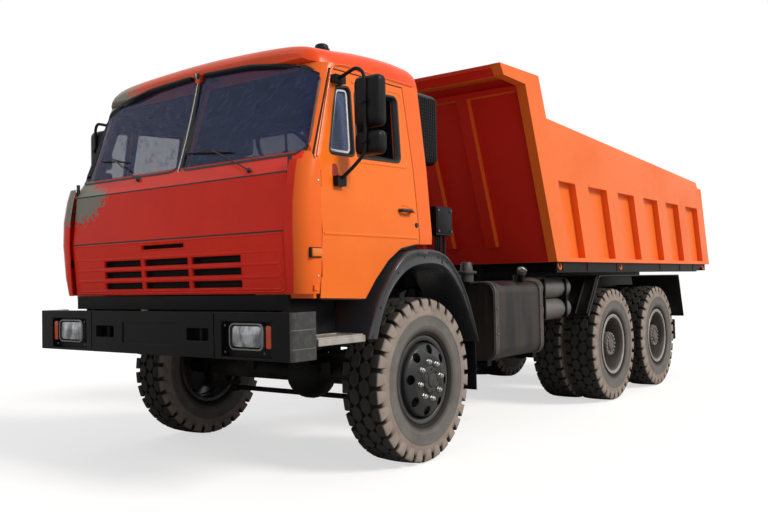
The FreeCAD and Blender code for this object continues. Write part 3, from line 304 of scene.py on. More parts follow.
def bevelled(piece, edge, steps, limit):
    bevel = piece.modifiers.new("edge", "BEVEL")
    bevel.width = edge
    bevel.segments = steps
    bevel.limit_method = "ANGLE"
    bevel.angle_limit = math.radians(limit)
    bevel.use_clamp_overlap = True
    made_plain(piece)
    smooth(piece.data, 35.0)
    weight = piece.modifiers.new("flat", "WEIGHTED_NORMAL")
    weight.keep_sharp = True
    made_plain(piece)


def painted(piece, finish, chosen):
    # Gives a second finish to the faces whose centre and normal are chosen
    mesh = piece.data
    if finish.name not in [m.name for m in mesh.materials]:
        mesh.materials.append(finish)
    index = [m.name for m in mesh.materials].index(finish.name)
    for face in mesh.polygons:
        centre = face.center - Vector((0, front_axle, 0))
        if chosen(centre, face.normal):
            face.material_index = index


def cleaned(node, finish, without=None):
    # The node's own form with its loose triangles merged, without the faces that another form replaces
    mesh = nodes[node].data.copy()
    work = bmesh.new()
    work.from_mesh(mesh)
    bmesh.ops.remove_doubles(work, verts=work.verts, dist=2e-5)
    if without:
        spare = [f for f in work.faces if without(f.calc_center_median() - Vector((0, front_axle, 0)))]
        bmesh.ops.delete(work, geom=spare, context="FACES")
    bmesh.ops.dissolve_limit(work, angle_limit=math.radians(0.6), verts=work.verts, edges=work.edges)
    work.to_mesh(mesh)
    work.free()
    mesh.materials.clear()
    mesh.materials.append(finish)
    return mesh


def dressed(node, finish, edge=0.0, steps=2, limit=40.0, without=None, second=()):
    # The node's own form with its edges rounded and its finishes given
    mesh = cleaned(node, finish, without)
    piece = place(node + "_finish", mesh)
    for other in list(mesh.attributes):
        if other.name == "custom_normal":
            mesh.attributes.remove(other)
    if edge:
        bevelled(piece, edge, steps, limit)
    else:
        smooth(piece.data)
    for other, chosen in second:
        painted(piece, other, chosen)
    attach(piece, nodes[node]["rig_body"])
    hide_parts(node)
    return piece


def gathered(name, meshes):
    # Joins meshes with their own materials into one mesh
    finishes = []
    work = bmesh.new()
    for mesh in meshes:
        first = len(work.faces)
        spot = []
        for finish in mesh.materials:
            if finish not in finishes:
                finishes.append(finish)
            spot.append(finishes.index(finish))
        work.from_mesh(mesh)
        work.faces.ensure_lookup_table()
        for face in work.faces[first:]:
            face.material_index = spot[face.material_index] if face.material_index < len(spot) else 0
    whole = bpy.data.meshes.new(name)
    work.to_mesh(whole)
    work.free()
    for finish in finishes:
        whole.materials.append(finish)
    return whole


def fitted(name, meshes, body, slot, *replaced, degrees=32.0):
    piece = place(name, gathered(name, meshes))
    smooth(piece.data, degrees)
    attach(piece, body)
    for node in replaced:
        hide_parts(node)
    return piece


def slab(x0, x1, y0, y1, z0, z1, edge, finish, steps=2):
    work = bmesh.new()
    bmesh.ops.create_cube(work, size=1.0)
    low = at(x0, y0, z0)
    high = at(x1, y1, z1)
    for v in work.verts:
        v.co = Vector([low[i] if v.co[i] < 0 else high[i] for i in range(3)])
    if edge:
        bmesh.ops.bevel(work, geom=work.edges[:], offset=edge, segments=steps, profile=0.5, affect="EDGES")
    return meshed("slab", work, finish)


def bend(start, corner, end, t):
    return start * (1 - t) ** 2 + corner * 2 * t * (1 - t) + end * t ** 2


def eased(points, radius, steps=4, closed=False):
    # The same line with each corner turned into a short curve
    count = len(points)
    line = []
    for i, spot in enumerate(points):
        if not closed and i in (0, count - 1):
            line.append(spot.copy())
            continue
        back = points[i - 1] - spot
        on = points[(i + 1) % count] - spot
        cut = min(radius, 0.49 * back.length, 0.49 * on.length)
        start = spot + back.normalized() * cut
        end = spot + on.normalized() * cut
        line += [bend(start, spot, end, k / steps) for k in range(steps + 1)]
    return line


def heading(points, i, closed):
    # The way a line runs at one of its points
    before = points[i - 1] if closed or i else points[i]
    after = points[(i + 1) % len(points)] if closed or i < len(points) - 1 else points[i]
    return (after - before).normalized()


def swept(path, profile, finish, closed=False):
    # Carries a closed profile of (across, lift) along a path of (place, normal)
    work = bmesh.new()
    rows = []
    spots = [spot for spot, normal in path]
    for i, (spot, normal) in enumerate(path):
        along = heading(spots, i, closed)
        across = along.cross(normal).normalized()
        up = across.cross(along)
        rows.append([work.verts.new(spot + across * a + up * b) for a, b in profile])
    if closed:
        joined(work, rows, True, True)
    else:
        capped(work, rows)
    return meshed("swept", work, finish)


def round_profile(radius, sides=10):
    return [(radius * math.cos(2 * math.pi * i / sides), radius * math.sin(2 * math.pi * i / sides))
            for i in range(sides)]


def pipe(points, radius, finish, sides=10, closed=False):
    # A round bar; its frame is carried along the line so that it never twists
    normal = None
    path = []
    for i, spot in enumerate(points):
        along = heading(points, i, closed)
        if normal is None:
            normal = along.orthogonal().normalized()
        normal = (normal - along * normal.dot(along)).normalized()
        path.append((spot, normal))
    return swept(path, round_profile(radius, sides), finish, closed)


for node in ("ladder_frame", "sub_frame", "frame_brackets", "drive_shafts", "springs", "rear_bar"):
    dressed(node, chassis_black, 0.004 if node != "drive_shafts" else 0.0)
axle_iron = coated("axle_iron", (0.01, 0.0095, 0.009), (0.06, 0.049, 0.038), (0.46, 0.88), 3.0, 0.55, 0.9,
                   grain=0.4, specular=0.15)
for node in ("front_axle", "rear_axles", "knuckle_left", "knuckle_right", "tie_rod", "engine"):
    dressed(node, axle_iron)


# Small fasteners: hexagon bolts, nuts and round screws, spread over spots by one tree.
# Each spot has a place and the way it faces.

def spread_tree():
    tree, node, into, out = group("spread_on_spots", "GeometryNodeTree",
                                  [("Part", "Geometry"), ("Spots", "Object"), ("Finish", "Material")],
                                  [("Spread", "Geometry")])
    spots = node.new("GeometryNodeObjectInfo")
    facing = node.new("GeometryNodeInputNamedAttribute")
    facing.data_type = "FLOAT_VECTOR"
    given(facing, {"Name": "facing"})
    turn = node.new("FunctionNodeAlignRotationToVector")
    turn.axis = "Z"
    copies = node.new("GeometryNodeInstanceOnPoints")
    whole = node.new("GeometryNodeRealizeInstances")
    paint = node.new("GeometryNodeSetMaterial")
    wire(tree.links, (into, "Spots", spots, "Object"), (spots, "Geometry", copies, "Points"),
         (into, "Part", copies, "Instance"), (facing, "Attribute", turn, "Vector"),
         (turn, "Rotation", copies, "Rotation"), (copies, 0, whole, 0), (whole, 0, paint, "Geometry"),
         (into, "Finish", paint, "Material"), (paint, 0, out, "Spread"))
    return tree


spread_on_spots = spread_tree()


def run_tree(part, tree, values):
    # A part as a tree leaves it, with the tree's inputs given by name
    piece = place("part", part.copy())
    modifier = piece.modifiers.new("tree", "NODES")
    modifier.node_group = tree
    for item in tree.interface.items_tree:
        if item.item_type == "SOCKET" and item.in_out == "INPUT" and item.name in values:
            modifier[item.identifier] = values[item.name]
    mesh = made_plain(piece).data
    bpy.data.objects.remove(piece)
    return mesh


def spread(part, spots, finish):
    points = bpy.data.meshes.new("spots")
    points.from_pydata([spot for spot, way in spots], [], [])
    facing = points.attributes.new("facing", "FLOAT_VECTOR", "POINT")
    for i, (spot, way) in enumerate(spots):
        facing.data[i].vector = way
    holder = place("spots", points)
    mesh = run_tree(part, spread_on_spots, {"Spots": holder, "Finish": finish})
    bpy.data.objects.remove(holder)
    return mesh


def stud(rings, sides):
    # A turned or hexagon head standing on Z, from (radius, height) steps
    work = bmesh.new()
    rows = []
    for r, z in rings:
        rows.append([work.verts.new((a, b, z)) for a, b in round_profile(r, sides)])
    joined(work, rows)
    work.faces.new(rows[0][::-1])
    work.faces.new(rows[-1])
    return meshed("stud", work, outward=False)


bolt_head = stud([(0.012, -0.002), (0.012, 0.001), (0.01, 0.001), (0.01, 0.006), (0.008, 0.008)], 6)
round_screw = stud([(0.008, -0.002), (0.008, 0.001), (0.006, 0.003), (0.003, 0.004)], 10)


# Tyres: radial lorry tyres with a blocky cross-country tread, moulded rubber on steel wheels.
# The tread stands in hexagonal blocks, with broad lugs over both shoulders, and dust lies on the shoulders.

TYRE_TOP = 0.5575
AXLE_Z = 0.5583
PITCHES = 30


def lathe(rings, sides):
    # A closed line of (x, radius) steps turned round X
    work = bmesh.new()
    rows = []
    for x, r in rings:
        rows.append([work.verts.new((x, b, a)) for a, b in round_profile(r, sides)])
    joined(work, rows, True, True)
    return work


def roll_point(x, s, r):
    return (x, r * math.sin(s / TYRE_TOP), r * math.cos(s / TYRE_TOP))


def crown_height(x):
    return TYRE_TOP - 0.006 * (x / 0.13) ** 2


def tread_block(work, top, outline, low, crown):
    cx = sum(x for x, s in outline) / len(outline)
    cs = sum(s for x, s in outline) / len(outline)
    foot = [work.verts.new(roll_point(x, s, low)) for x, s in outline]
    side = [work.verts.new(roll_point(x + (cx - x) * 0.04, s + (cs - s) * 0.04, crown_height(x) - crown))
            for x, s in outline]
    cap = [work.verts.new(roll_point(x + (cx - x) * 0.1, s + (cs - s) * 0.1, crown_height(x)))
           for x, s in outline]
    count = len(outline)
    for i in range(count):
        j = (i + 1) % count
        work.faces.new((foot[i], foot[j], side[j], side[i]))
        work.faces.new((side[i], side[j], cap[j], cap[i]))
    work.faces.new(cap)
    for v in cap + side:
        v[top] = 1.0


# Stations of a shoulder lug from the tread over the shoulder to where it ends in the sidewall:
# foot x and radius, crest x and radius, and half width as a share of the pitch
LUG = [(0.078, 0.534, 0.081, 0.555, 0.2), (0.094, 0.532, 0.097, 0.5545, 0.375),
       (0.12, 0.522, 0.127, 0.552, 0.385), (0.129, 0.511, 0.14, 0.547, 0.38),
       (0.136, 0.499, 0.149, 0.533, 0.355), (0.142, 0.489, 0.152, 0.515, 0.33),
       (0.1465, 0.479, 0.153, 0.495, 0.29), (0.1505, 0.468, 0.153, 0.475, 0.22)]
# Half of the tyre's outline, as (x, radius) from its bead to the tread's floor
SIDEWALL = [(0.108, 0.2655), (0.115, 0.272), (0.119, 0.29), (0.1165, 0.2985), (0.1275, 0.305),
            (0.1345, 0.321), (0.135, 0.3235), (0.1375, 0.3245), (0.1385, 0.328), (0.148, 0.36),
            (0.1495, 0.361), (0.1505, 0.365), (0.15, 0.367), (0.1535, 0.4), (0.1545, 0.423),
            (0.1562, 0.425), (0.1564, 0.432), (0.1545, 0.434), (0.1525, 0.455), (0.149, 0.472),
            (0.144, 0.49), (0.136, 0.508), (0.125, 0.521), (0.1, 0.53), (0.05, 0.533)]
TREAD_FLOOR = 0.534
BLOCK_LENGTH = 0.53
BLOCK_MIDDLE = 0.04


def shoulder_lug(work, top, side, s, pitch):
    rows = []
    for foot_x, foot_r, x, r, share in LUG:
        wide = share * pitch
        row = []
        half = ((foot_x, foot_r - 0.004, wide), (x - 0.001, r - 0.001, wide * 0.97), (x, r, wide * 0.88))
        for px, pr, w in half + tuple((px, pr, -w) for px, pr, w in half[::-1]):
            row.append(work.verts.new(roll_point(side * px, s + w, pr)))
        for v in row[1:5]:
            v[top] = 1.0
        rows.append(row)
    capped(work, rows, False)


def tyre_mesh():
    pitch = 2 * math.pi * TYRE_TOP / PITCHES
    rings = [(-x, r) for x, r in SIDEWALL] + [(0.0, TREAD_FLOOR)] + SIDEWALL[::-1]
    work = lathe(rings, 90)
    top = work.verts.layers.float.new("top")
    for k in range(PITCHES):
        s = k * pitch
        for way, shift in ((1, 0.0), (-1, 0.5)):
            shoulder_lug(work, top, way, s + shift * pitch, pitch)
            long = BLOCK_LENGTH * pitch
            mid = BLOCK_MIDDLE * way
            t = s + (shift + 0.5) * pitch
            inner = mid - 0.0375 * way
            outer = mid + 0.04 * way
            outline = [(inner, t - long * 0.5), (inner, t + long * 0.5), (mid, t + long),
                       (outer, t + long * 0.56), (outer, t - long * 0.56), (mid, t - long)]
            tread_block(work, top, outline if way < 0 else outline[::-1], 0.531, 0.003)
    mesh = meshed("tyre", work)
    reach = mesh.attributes.new("reach", "FLOAT", "POINT")
    width = mesh.attributes.new("width", "FLOAT", "POINT")
    for k, v in enumerate(mesh.vertices):
        reach.data[k].value = math.hypot(v.co.y, v.co.z)
        width.data[k].value = abs(v.co.x)
    smooth(mesh, 30.0)
    return mesh


def attribute_ramp(tree, name, low, high):
    source = tree.nodes.new("ShaderNodeAttribute")
    source.attribute_name = name
    span = tree.nodes.new("ShaderNodeMapRange")
    span.inputs["From Min"].default_value = low
    span.inputs["From Max"].default_value = high
    tree.links.new(source.outputs["Fac"], span.inputs["Value"])
    return span.outputs["Result"]


def colour_mix(tree, mask, first, second, blend="MIX"):
    # Each of first and second is a colour or another node's socket
    mix = tree.nodes.new("ShaderNodeMix")
    mix.data_type = "RGBA"
    mix.blend_type = blend
    tree.links.new(mask, mix.inputs[0])
    for place_in, value in ((6, first), (7, second)):
        if isinstance(value, tuple):
            mix.inputs[place_in].default_value = (*value, 1)
        else:
            tree.links.new(value, mix.inputs[place_in])
    return mix.outputs[2]


def rubber():
    # Tread grooves darker than the crests as painted shade, paler worn crests, and dust on the shoulders and
    # towards the rim
    made, nodes_in, links, shader = material("tyre_rubber_dusty")
    tree = made.node_tree
    haze = group_node(nodes_in, dust_and_sheen_mask, {"Scale": 7.0, "Low": 0.4, "High": 0.7})
    crest = attribute_ramp(tree, "top", 0.2, 0.9)
    wall = attribute_ramp(tree, "reach", 0.432, 0.442)
    over = attribute_ramp(tree, "width", 0.134, 0.146)
    rim_side = attribute_ramp(tree, "reach", 0.3, 0.36)
    edge = attribute_ramp(tree, "reach", 0.498, 0.515)
    side = colour_mix(tree, rim_side, (0.07, 0.065, 0.062), (0.165, 0.155, 0.15))
    notch = colour_mix(tree, edge, (0.3, 0.252, 0.222), (0.05, 0.042, 0.036))
    shoulder = colour_mix(tree, crest, notch, (0.325, 0.275, 0.245))
    flank = colour_mix(tree, wall, side, shoulder)
    # The grooves' darker colour is painted shade.
    tread = colour_mix(tree, crest, (0.02, 0.018, 0.016), (0.038, 0.034, 0.031))
    whole = colour_mix(tree, over, tread, flank)
    stained = colour_mix(tree, haze.outputs["Mask"], whole, (0.74, 0.72, 0.7), "MULTIPLY")
    links.new(stained, shader.inputs["Base Color"])
    given(shader, {"Roughness": 0.8, "Specular IOR Level": 0.2})
    bump = nodes_in.new("ShaderNodeBump")
    given(bump, {"Strength": 0.3, "Distance": 0.004})
    wire(links, (haze, "Grain", bump, "Height"), (bump, "Normal", shader, "Normal"))
    return made


tyre_form = tyre_mesh()
tyre_form.materials.append(rubber())


def moved(mesh, x, y, z, mirror=False):
    # A copy put elsewhere, and turned into its mirror image first where asked
    copy = mesh.copy()
    if mirror:
        copy.transform(Matrix.Scale(-1, 4, (1, 0, 0)))
        copy.flip_normals()
    copy.transform(Matrix.Translation((x, y, z)))
    return copy


FRONT_X = 1.0645
TWIN_X = (1.0935, 0.7485)
wheel_bodies = {"front_left": "front_left_wheel", "front_right": "front_right_wheel",
                "rear1_left": "middle_left_wheels", "rear1_right": "middle_right_wheels",
                "rear2_left": "rear_left_wheels", "rear2_right": "rear_right_wheels"}
stations = {"front": front_axle}
for spot in ("rear1", "rear2"):
    stations[spot] = sum(corner[1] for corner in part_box("tyres_" + spot + "_left")) / 2


def wheels():
    # Each place that has wheels: its name, its body, whether it is in front, its y and its side
    for spot, body in wheel_bodies.items():
        station, side = spot.split("_")
        yield spot, body, station == "front", stations[station], 1 if side == "left" else -1


for spot, body, front, y, way in wheels():
    copies = [moved(tyre_form, way * x, y, AXLE_Z, way < 0) for x in ([FRONT_X] if front else TWIN_X)]
    node = ("tyre_" if front else "tyres_") + spot
    fitted(node + "_tread", copies, body, "tyre_rubber", node, degrees=30.0)


# Wheels: pressed steel discs with round hand holes, studs and nuts round the hub, and split lock rings.
# The front discs bow outwards in black, and the grey rear twins are dished deep around a bolted hub.

wheel_black = coated("wheel_black", (0.022, 0.023, 0.025), (0.06, 0.056, 0.052), (0.48, 0.95), 4.0, 0.34,
                     0.65, grain=0.06, specular=0.3)
wheel_grey = coated("wheel_grey", (0.085, 0.078, 0.072), (0.15, 0.132, 0.118), (0.4, 0.78), 5.0, 0.5, 0.85,
                    grain=0.1, specular=0.25)
lip_grey = coated("lip_grey", (0.36, 0.335, 0.315), (0.22, 0.195, 0.175), (0.42, 0.75), 9.0, 0.45, 0.7,
                  metal=0.2, grain=0.1)
nut_steel = coated("nut_steel", (0.62, 0.6, 0.57), (0.2, 0.17, 0.13), (0.5, 0.85), 20.0, 0.3, 0.6,
                   metal=0.7)
hub_iron = coated("hub_iron", (0.085, 0.075, 0.07), (0.2, 0.17, 0.15), (0.38, 0.74), 14.0, 0.55, 0.9,
                  grain=0.4)
# The front rims' flange and lock ring are a little paler than the disc: dust, and a painted highlight along
# the rim's edge.
rim_lip_dust_and_highlight = coated("rim_lip_dust_and_highlight", (0.04, 0.039, 0.038), (0.105, 0.098, 0.092), (0.45, 0.88), 5.0, 0.38, 0.7,
                  grain=0.08)
hub_dark = coated("hub_dark", (0.03, 0.029, 0.029), (0.085, 0.075, 0.066), (0.42, 0.85), 14.0, 0.45, 0.8,
                  grain=0.3)


def ring_repeat():
    tree, node, into, out = group("ring_repeat", "GeometryNodeTree",
                                  [("Part", "Geometry"), ("Count", "Int"), ("Radius", "Float"),
                                   ("Finish", "Material")], [("Ring", "Geometry")])
    circle = node.new("GeometryNodeMeshCircle")
    spots = node.new("GeometryNodeInstanceOnPoints")
    whole = node.new("GeometryNodeRealizeInstances")
    paint = node.new("GeometryNodeSetMaterial")
    wire(tree.links, (into, "Count", circle, "Vertices"), (into, "Radius", circle, "Radius"),
         (circle, "Mesh", spots, "Points"), (into, "Part", spots, "Instance"), (spots, 0, whole, 0),
         (whole, 0, paint, "Geometry"), (into, "Finish", paint, "Material"), (paint, 0, out, "Ring"))
    return tree


ring_tree = ring_repeat()


def ring_of(part, count, radius, finish, x, phase=0.0):
    # The ring lies round X: made flat in XY, then turned so that Z becomes X
    mesh = run_tree(part, ring_tree, {"Count": count, "Radius": radius, "Finish": finish})
    mesh.transform(Matrix.Rotation(math.radians(phase), 4, "X") @ Matrix.Rotation(math.pi / 2, 4, "Y"))
    mesh.transform(Matrix.Translation((x, 0, 0)))
    return mesh


def turned(rings, sides, finish):
    mesh = meshed("turned", lathe(rings, sides), finish)
    smooth(mesh)
    return mesh


def cut_by(mesh, cutters):
    # The mesh with each cutter taken away from it
    shape = place("cut", mesh)
    for work in cutters:
        tool = place("cutter", meshed("cutter", work, outward=False))
        cut = shape.modifiers.new("cut", "BOOLEAN")
        cut.object = tool
        cut.solver = "EXACT"
        made_plain(shape)
        bpy.data.objects.remove(tool)
    made = shape.data
    bpy.data.objects.remove(shape)
    return made


def pierced(mesh, count, radius, hole, x0, x1, phase=0.0):
    # Round hand holes through a disc, between x0 and x1
    work = bmesh.new()
    for i in range(count):
        a = 2 * math.pi * i / count + math.radians(phase)
        spot = Matrix.Translation(((x0 + x1) / 2, radius * math.sin(a), radius * math.cos(a)))
        bmesh.ops.create_cone(work, cap_ends=True, segments=28, radius1=hole, radius2=hole, depth=x1 - x0,
                              matrix=spot @ Matrix.Rotation(math.pi / 2, 4, "Y"))
    made = cut_by(mesh, [work])
    smooth(made)
    return made


def rim_band(x0, x1, finish, lip_finish):
    # Rim with a rolled inner flange, a drop centre and a split lock ring on its outer edge
    lip = 0.298
    band = [(x0 + 0.001, lip - 0.006), (x0 + 0.004, lip - 0.001), (x0 + 0.007, lip - 0.002),
            (x0 + 0.009, 0.272), (x0 + 0.03, 0.2625), (x1 - 0.03, 0.2625), (x1 - 0.012, 0.27),
            (x1 - 0.009, 0.2715), (x1 - 0.003, 0.268), (x1 - 0.018, 0.257), (x1 - 0.045, 0.2535),
            (x0 + 0.045, 0.2535), (x0 + 0.018, 0.257), (x0 + 0.003, 0.268)]
    flange = [(x1 - 0.012, 0.272), (x1 - 0.008, 0.274), (x1 - 0.006, 0.278), (x1 - 0.007, lip - 0.004),
              (x1 - 0.004, lip - 0.001), (x1 - 0.001, lip - 0.004), (x1, 0.288), (x1 - 0.002, 0.276),
              (x1 - 0.006, 0.2705)]
    lock = [(x1 - 0.016, 0.263), (x1 - 0.008, 0.2635), (x1 - 0.002, 0.2655), (x1 - 0.0005, 0.268),
            (x1 - 0.004, 0.27), (x1 - 0.016, 0.269)]
    return [turned(band, 80, finish), turned(flange, 96, lip_finish), turned(lock, 96, lip_finish)]


def front_wheel():
    # A disc that bows outwards, with hand holes, a stepped hub and two rings of fasteners
    disc = turned([(0.02, 0.2525), (0.1, 0.2505), (0.128, 0.248), (0.139, 0.244), (0.1465, 0.238),
                   (0.1515, 0.23), (0.166, 0.185), (0.1705, 0.175), (0.173, 0.167), (0.1735, 0.158),
                   (0.1735, 0.094), (0.1645, 0.094), (0.1645, 0.16), (0.16, 0.176), (0.143, 0.227),
                   (0.137, 0.235), (0.128, 0.24), (0.1, 0.2425), (0.02, 0.2445)], 112, wheel_black)
    disc = pierced(disc, 8, 0.205, 0.033, 0.12, 0.18, 5.5)
    hub = turned([(0.07, 0.205), (0.106, 0.205), (0.11, 0.0955), (0.1735, 0.093), (0.176, 0.089),
                  (0.186, 0.086), (0.19, 0.082), (0.1905, 0.064), (0.1885, 0.062), (0.189, 0.048),
                  (0.196, 0.045), (0.1985, 0.038), (0.199, 0.016), (0.201, 0.014), (0.2015, 0.004),
                  (0.0705, 0.004)], 56, hub_dark)
    nut = stud([(0.0185, 0.0), (0.0185, 0.003), (0.0172, 0.004), (0.0165, 0.017), (0.01, 0.019),
                (0.01, 0.027), (0.008, 0.029)], 6)
    small = stud([(0.008, 0.0), (0.008, 0.005), (0.006, 0.007)], 6)
    return rim_band(-0.122, 0.122, wheel_black, rim_lip_dust_and_highlight) + [
        disc, hub, ring_of(nut, 8, 0.125, nut_steel, 0.1732, 8.0),
        ring_of(small, 8, 0.073, hub_dark, 0.1903)]


def twin_wheels():
    # Two rims back to back: the outer one dished deep, with the brake drum behind and the hub through both
    half = (TWIN_X[0] - TWIN_X[1]) / 2
    dish = turned([(half - 0.06, 0.254), (half - 0.095, 0.25), (0.055, 0.24), (0.04, 0.22),
                   (0.034, 0.18), (0.033, 0.098), (0.021, 0.098), (0.021, 0.18), (0.027, 0.223),
                   (0.043, 0.247), (half - 0.1, 0.256), (half - 0.06, 0.256)], 96, wheel_grey)
    dish = pierced(dish, 8, 0.202, 0.03, 0.0, 0.08)
    back = turned([(-0.03, 0.2545), (-0.02, 0.2545), (0.018, 0.2), (0.02, 0.098), (0.008, 0.098),
                   (0.006, 0.19)], 72, wheel_grey)
    drum = turned([(-half - 0.06, 0.205), (0.004, 0.205), (0.006, 0.07), (-half - 0.06, 0.07)], 48, axle_iron)
    hub = turned([(0.03, 0.128), (0.06, 0.126), (0.08, 0.121), (0.256, 0.1195), (0.266, 0.118),
                  (0.2735, 0.112), (0.274, 0.09), (0.27, 0.086), (0.2705, 0.06), (0.281, 0.057),
                  (0.286, 0.048), (0.287, 0.02), (0.287, 0.004), (0.03, 0.004)], 60, hub_iron)
    nut = stud([(0.0185, 0.0), (0.0172, 0.004), (0.0165, 0.018), (0.01, 0.02), (0.01, 0.03),
                (0.008, 0.032)], 6)
    bolt = stud([(0.01, 0.0), (0.01, 0.008), (0.008, 0.01)], 6)
    cap = stud([(0.007, 0.0), (0.007, 0.005), (0.005, 0.007)], 6)
    return (rim_band(half - 0.122, half + 0.136, wheel_grey, lip_grey)
            + rim_band(-half - 0.122, -half + 0.122, wheel_black, wheel_black)
            + [dish, back, drum, hub, ring_of(nut, 8, 0.155, wheel_grey, 0.033, 28.0),
               ring_of(bolt, 16, 0.101, lip_grey, 0.2738), ring_of(cap, 8, 0.073, hub_dark, 0.2702)])


front_form = gathered("front_wheel", front_wheel())
twin_form = gathered("twin_wheels", twin_wheels())
for spot, body, front, y, way in wheels():
    form = front_form if front else twin_form
    x = FRONT_X if front else sum(TWIN_X) / 2
    mesh = moved(form, way * x, y, AXLE_Z, way < 0)
    node = ("rim_" if front else "rims_") + spot
    fitted(node + "_disc", [mesh], body, "rim_paint", node)


# Side gear: fuel tank with two straps, air tanks, batteries and silencer, hung from the frame's sides.
# They are sheet steel in black paint, streaked by dust and rain, with dark straps whose pale edge lines are
# painted highlights.

tank_grey = coated("tank_grey", (0.01, 0.009, 0.0085), (0.075, 0.06, 0.05), (0.42, 0.8), 7.0, 0.36, 0.7,
                   grain=0.08, streak=0.12, specular=0.25)
strap_grey = coated("strap_grey", (0.11, 0.103, 0.097), (0.19, 0.168, 0.15), (0.4, 0.75), 6.0, 0.45, 0.8,
                    grain=0.1)
air_grey = coated("air_grey", (0.11, 0.105, 0.1), (0.17, 0.15, 0.135), (0.42, 0.85), 6.0, 0.38, 0.7,
                  grain=0.08)
strap_dark = coated("strap_dark", (0.028, 0.026, 0.025), (0.11, 0.095, 0.083), (0.42, 0.8), 9.0, 0.4, 0.7,
                    grain=0.1)
pale_steel = coated("pale_steel", (0.5, 0.48, 0.45), (0.3, 0.26, 0.22), (0.5, 0.85), 12.0, 0.34, 0.6,
                    metal=0.5)
moulding = coated("black_moulding", (0.009, 0.0095, 0.011), (0.045, 0.042, 0.039), (0.52, 1.0), 2.5, 0.38,
                  0.62, grain=0.06, specular=0.12)
TANK_MIDDLE = 1.4095
STRAP_AWAY = 0.3885
STRAP_WIDTH = 0.06


def on_strap(spot, way):
    return abs(abs(spot.y - TANK_MIDDLE) - STRAP_AWAY) < STRAP_WIDTH / 2 and spot.x > 0.5


dressed("fuel_tank", tank_grey, 0.006, second=[(strap_dark, on_strap)])
dressed("air_tanks", air_grey, 0.008)
dressed("battery_box", tank_grey, 0.012, 3)
dressed("silencer", strap_grey, 0.008)
neck_line = [at(1.1, 1.6, 1.185), at(1.13, 1.56, 1.235), at(1.155, 1.535, 1.29)]
neck = pipe(eased(neck_line, 0.03), 0.032, moulding, 16)
cap = pipe([at(1.15, 1.54, 1.278), at(1.164, 1.526, 1.306)], 0.04, strap_dark, 18)
lever_line = [at(1.13, 1.512, 1.3), at(1.166, 1.524, 1.318), at(1.188, 1.556, 1.29)]
lever = pipe(lever_line, 0.008, pale_steel, 8)
# Thin pale lines along both edges of each strap: painted highlights.
edges = []
for y in (0.998, 1.044, 1.775, 1.821):
    hoop = [at(0.62, y, 1.2075), at(1.1985, y, 1.2075), at(1.1985, y, 0.592), at(0.62, y, 0.592)]
    edges.append(pipe(eased(hoop, 0.095, 6), 0.0035, strap_grey, 6))
can = stud([(0.055, 0.0), (0.055, 0.06), (0.078, 0.063), (0.08, 0.07), (0.078, 0.08), (0.05, 0.086),
            (0.045, 0.14), (0.036, 0.152), (0.012, 0.155)], 24)
can_mesh = spread(can, [(at(1.0, 0.905, 1.212), UP)], strap_dark)
can_shelf = slab(0.93, 1.07, 0.83, 0.99, 1.196, 1.2125, 0.003, moulding)
strap_bolts = [(at(1.199, y, z), LEFT) for y in (1.021, 1.798) for z in (0.8, 1.0)]
bolts = spread(bolt_head, strap_bolts, strap_grey)
fitted("tank_filler", [neck, cap, lever, can_mesh, can_shelf, bolts] + edges, "chassis", "black_steel")


# Air intake stack and valve box behind the cab: black plastic and sheet steel on posts from the frame.
# The intake's outer face is a fine grid, and the box has a bolted lid.

dressed("intake_stack", moulding, 0.01, 3)
grid_bars = []
for i in range(10):
    y = 0.0255 * i
    grid_bars.append(slab(1.016, 1.024, 0.232 + y, 0.238 + y, 2.12, 2.56, 0.0, moulding))
for i in range(20):
    z = 0.0225 * i
    grid_bars.append(slab(1.014, 1.023, 0.225, 0.465, 2.12 + z, 2.125 + z, 0.0, moulding))
fitted("intake_grid", grid_bars, "chassis", "black_plastic")
dressed("valve_box", moulding, 0.006)
lid = slab(1.046, 1.054, 0.42, 0.62, 1.572, 1.758, 0.003, moulding)
lid_bolts = [(at(1.053, y, z), LEFT) for y in (0.436, 0.604) for z in (1.588, 1.742)]
hose_line = [at(1.0, 0.5, 1.562), at(1.0, 0.5, 1.46), at(0.95, 0.56, 1.36), at(0.72, 0.64, 1.22),
             at(0.46, 0.66, 1.12)]
hoses = [pipe([p + Vector((0, shift, 0)) for p in eased(hose_line, 0.08, 6)], 0.009, moulding, 8)
         for shift in (-0.03, 0.0, 0.03)]
fitted("valve_lid", [lid, spread(bolt_head, lid_bolts, strap_grey)] + hoses, "chassis", "black_steel")


# Wings over the front wheels: pressed bands with a rolled outer flange, split where the cab tips away.
# The front halves ride on the cab with the apron under the grille, and the rear halves stand on the frame.

wing_satin = coated("wing_satin", (0.024, 0.027, 0.032), (0.06, 0.058, 0.057), (0.52, 1.0), 2.6, 0.24, 0.5,
                    grain=0.03, splash=0.5, rise=1.15, specular=0.5)
# Outer and inner line of the band, as (y, z) from its front edge to its rear edge
WING_OUT = [(-0.655, 0.877), (-0.56, 1.09), (-0.43, 1.25), (-0.3, 1.375), (-0.18, 1.438),
            (0.205, 1.445), (0.4, 1.29), (0.56, 1.06), (0.667, 0.77)]
WING_IN = [(-0.56, 0.871), (-0.48, 1.084), (-0.335, 1.234), (-0.144, 1.325), (0.202, 1.335),
           (0.37, 1.215), (0.505, 1.05), (0.645, 0.77)]
WING_STATIONS = 56


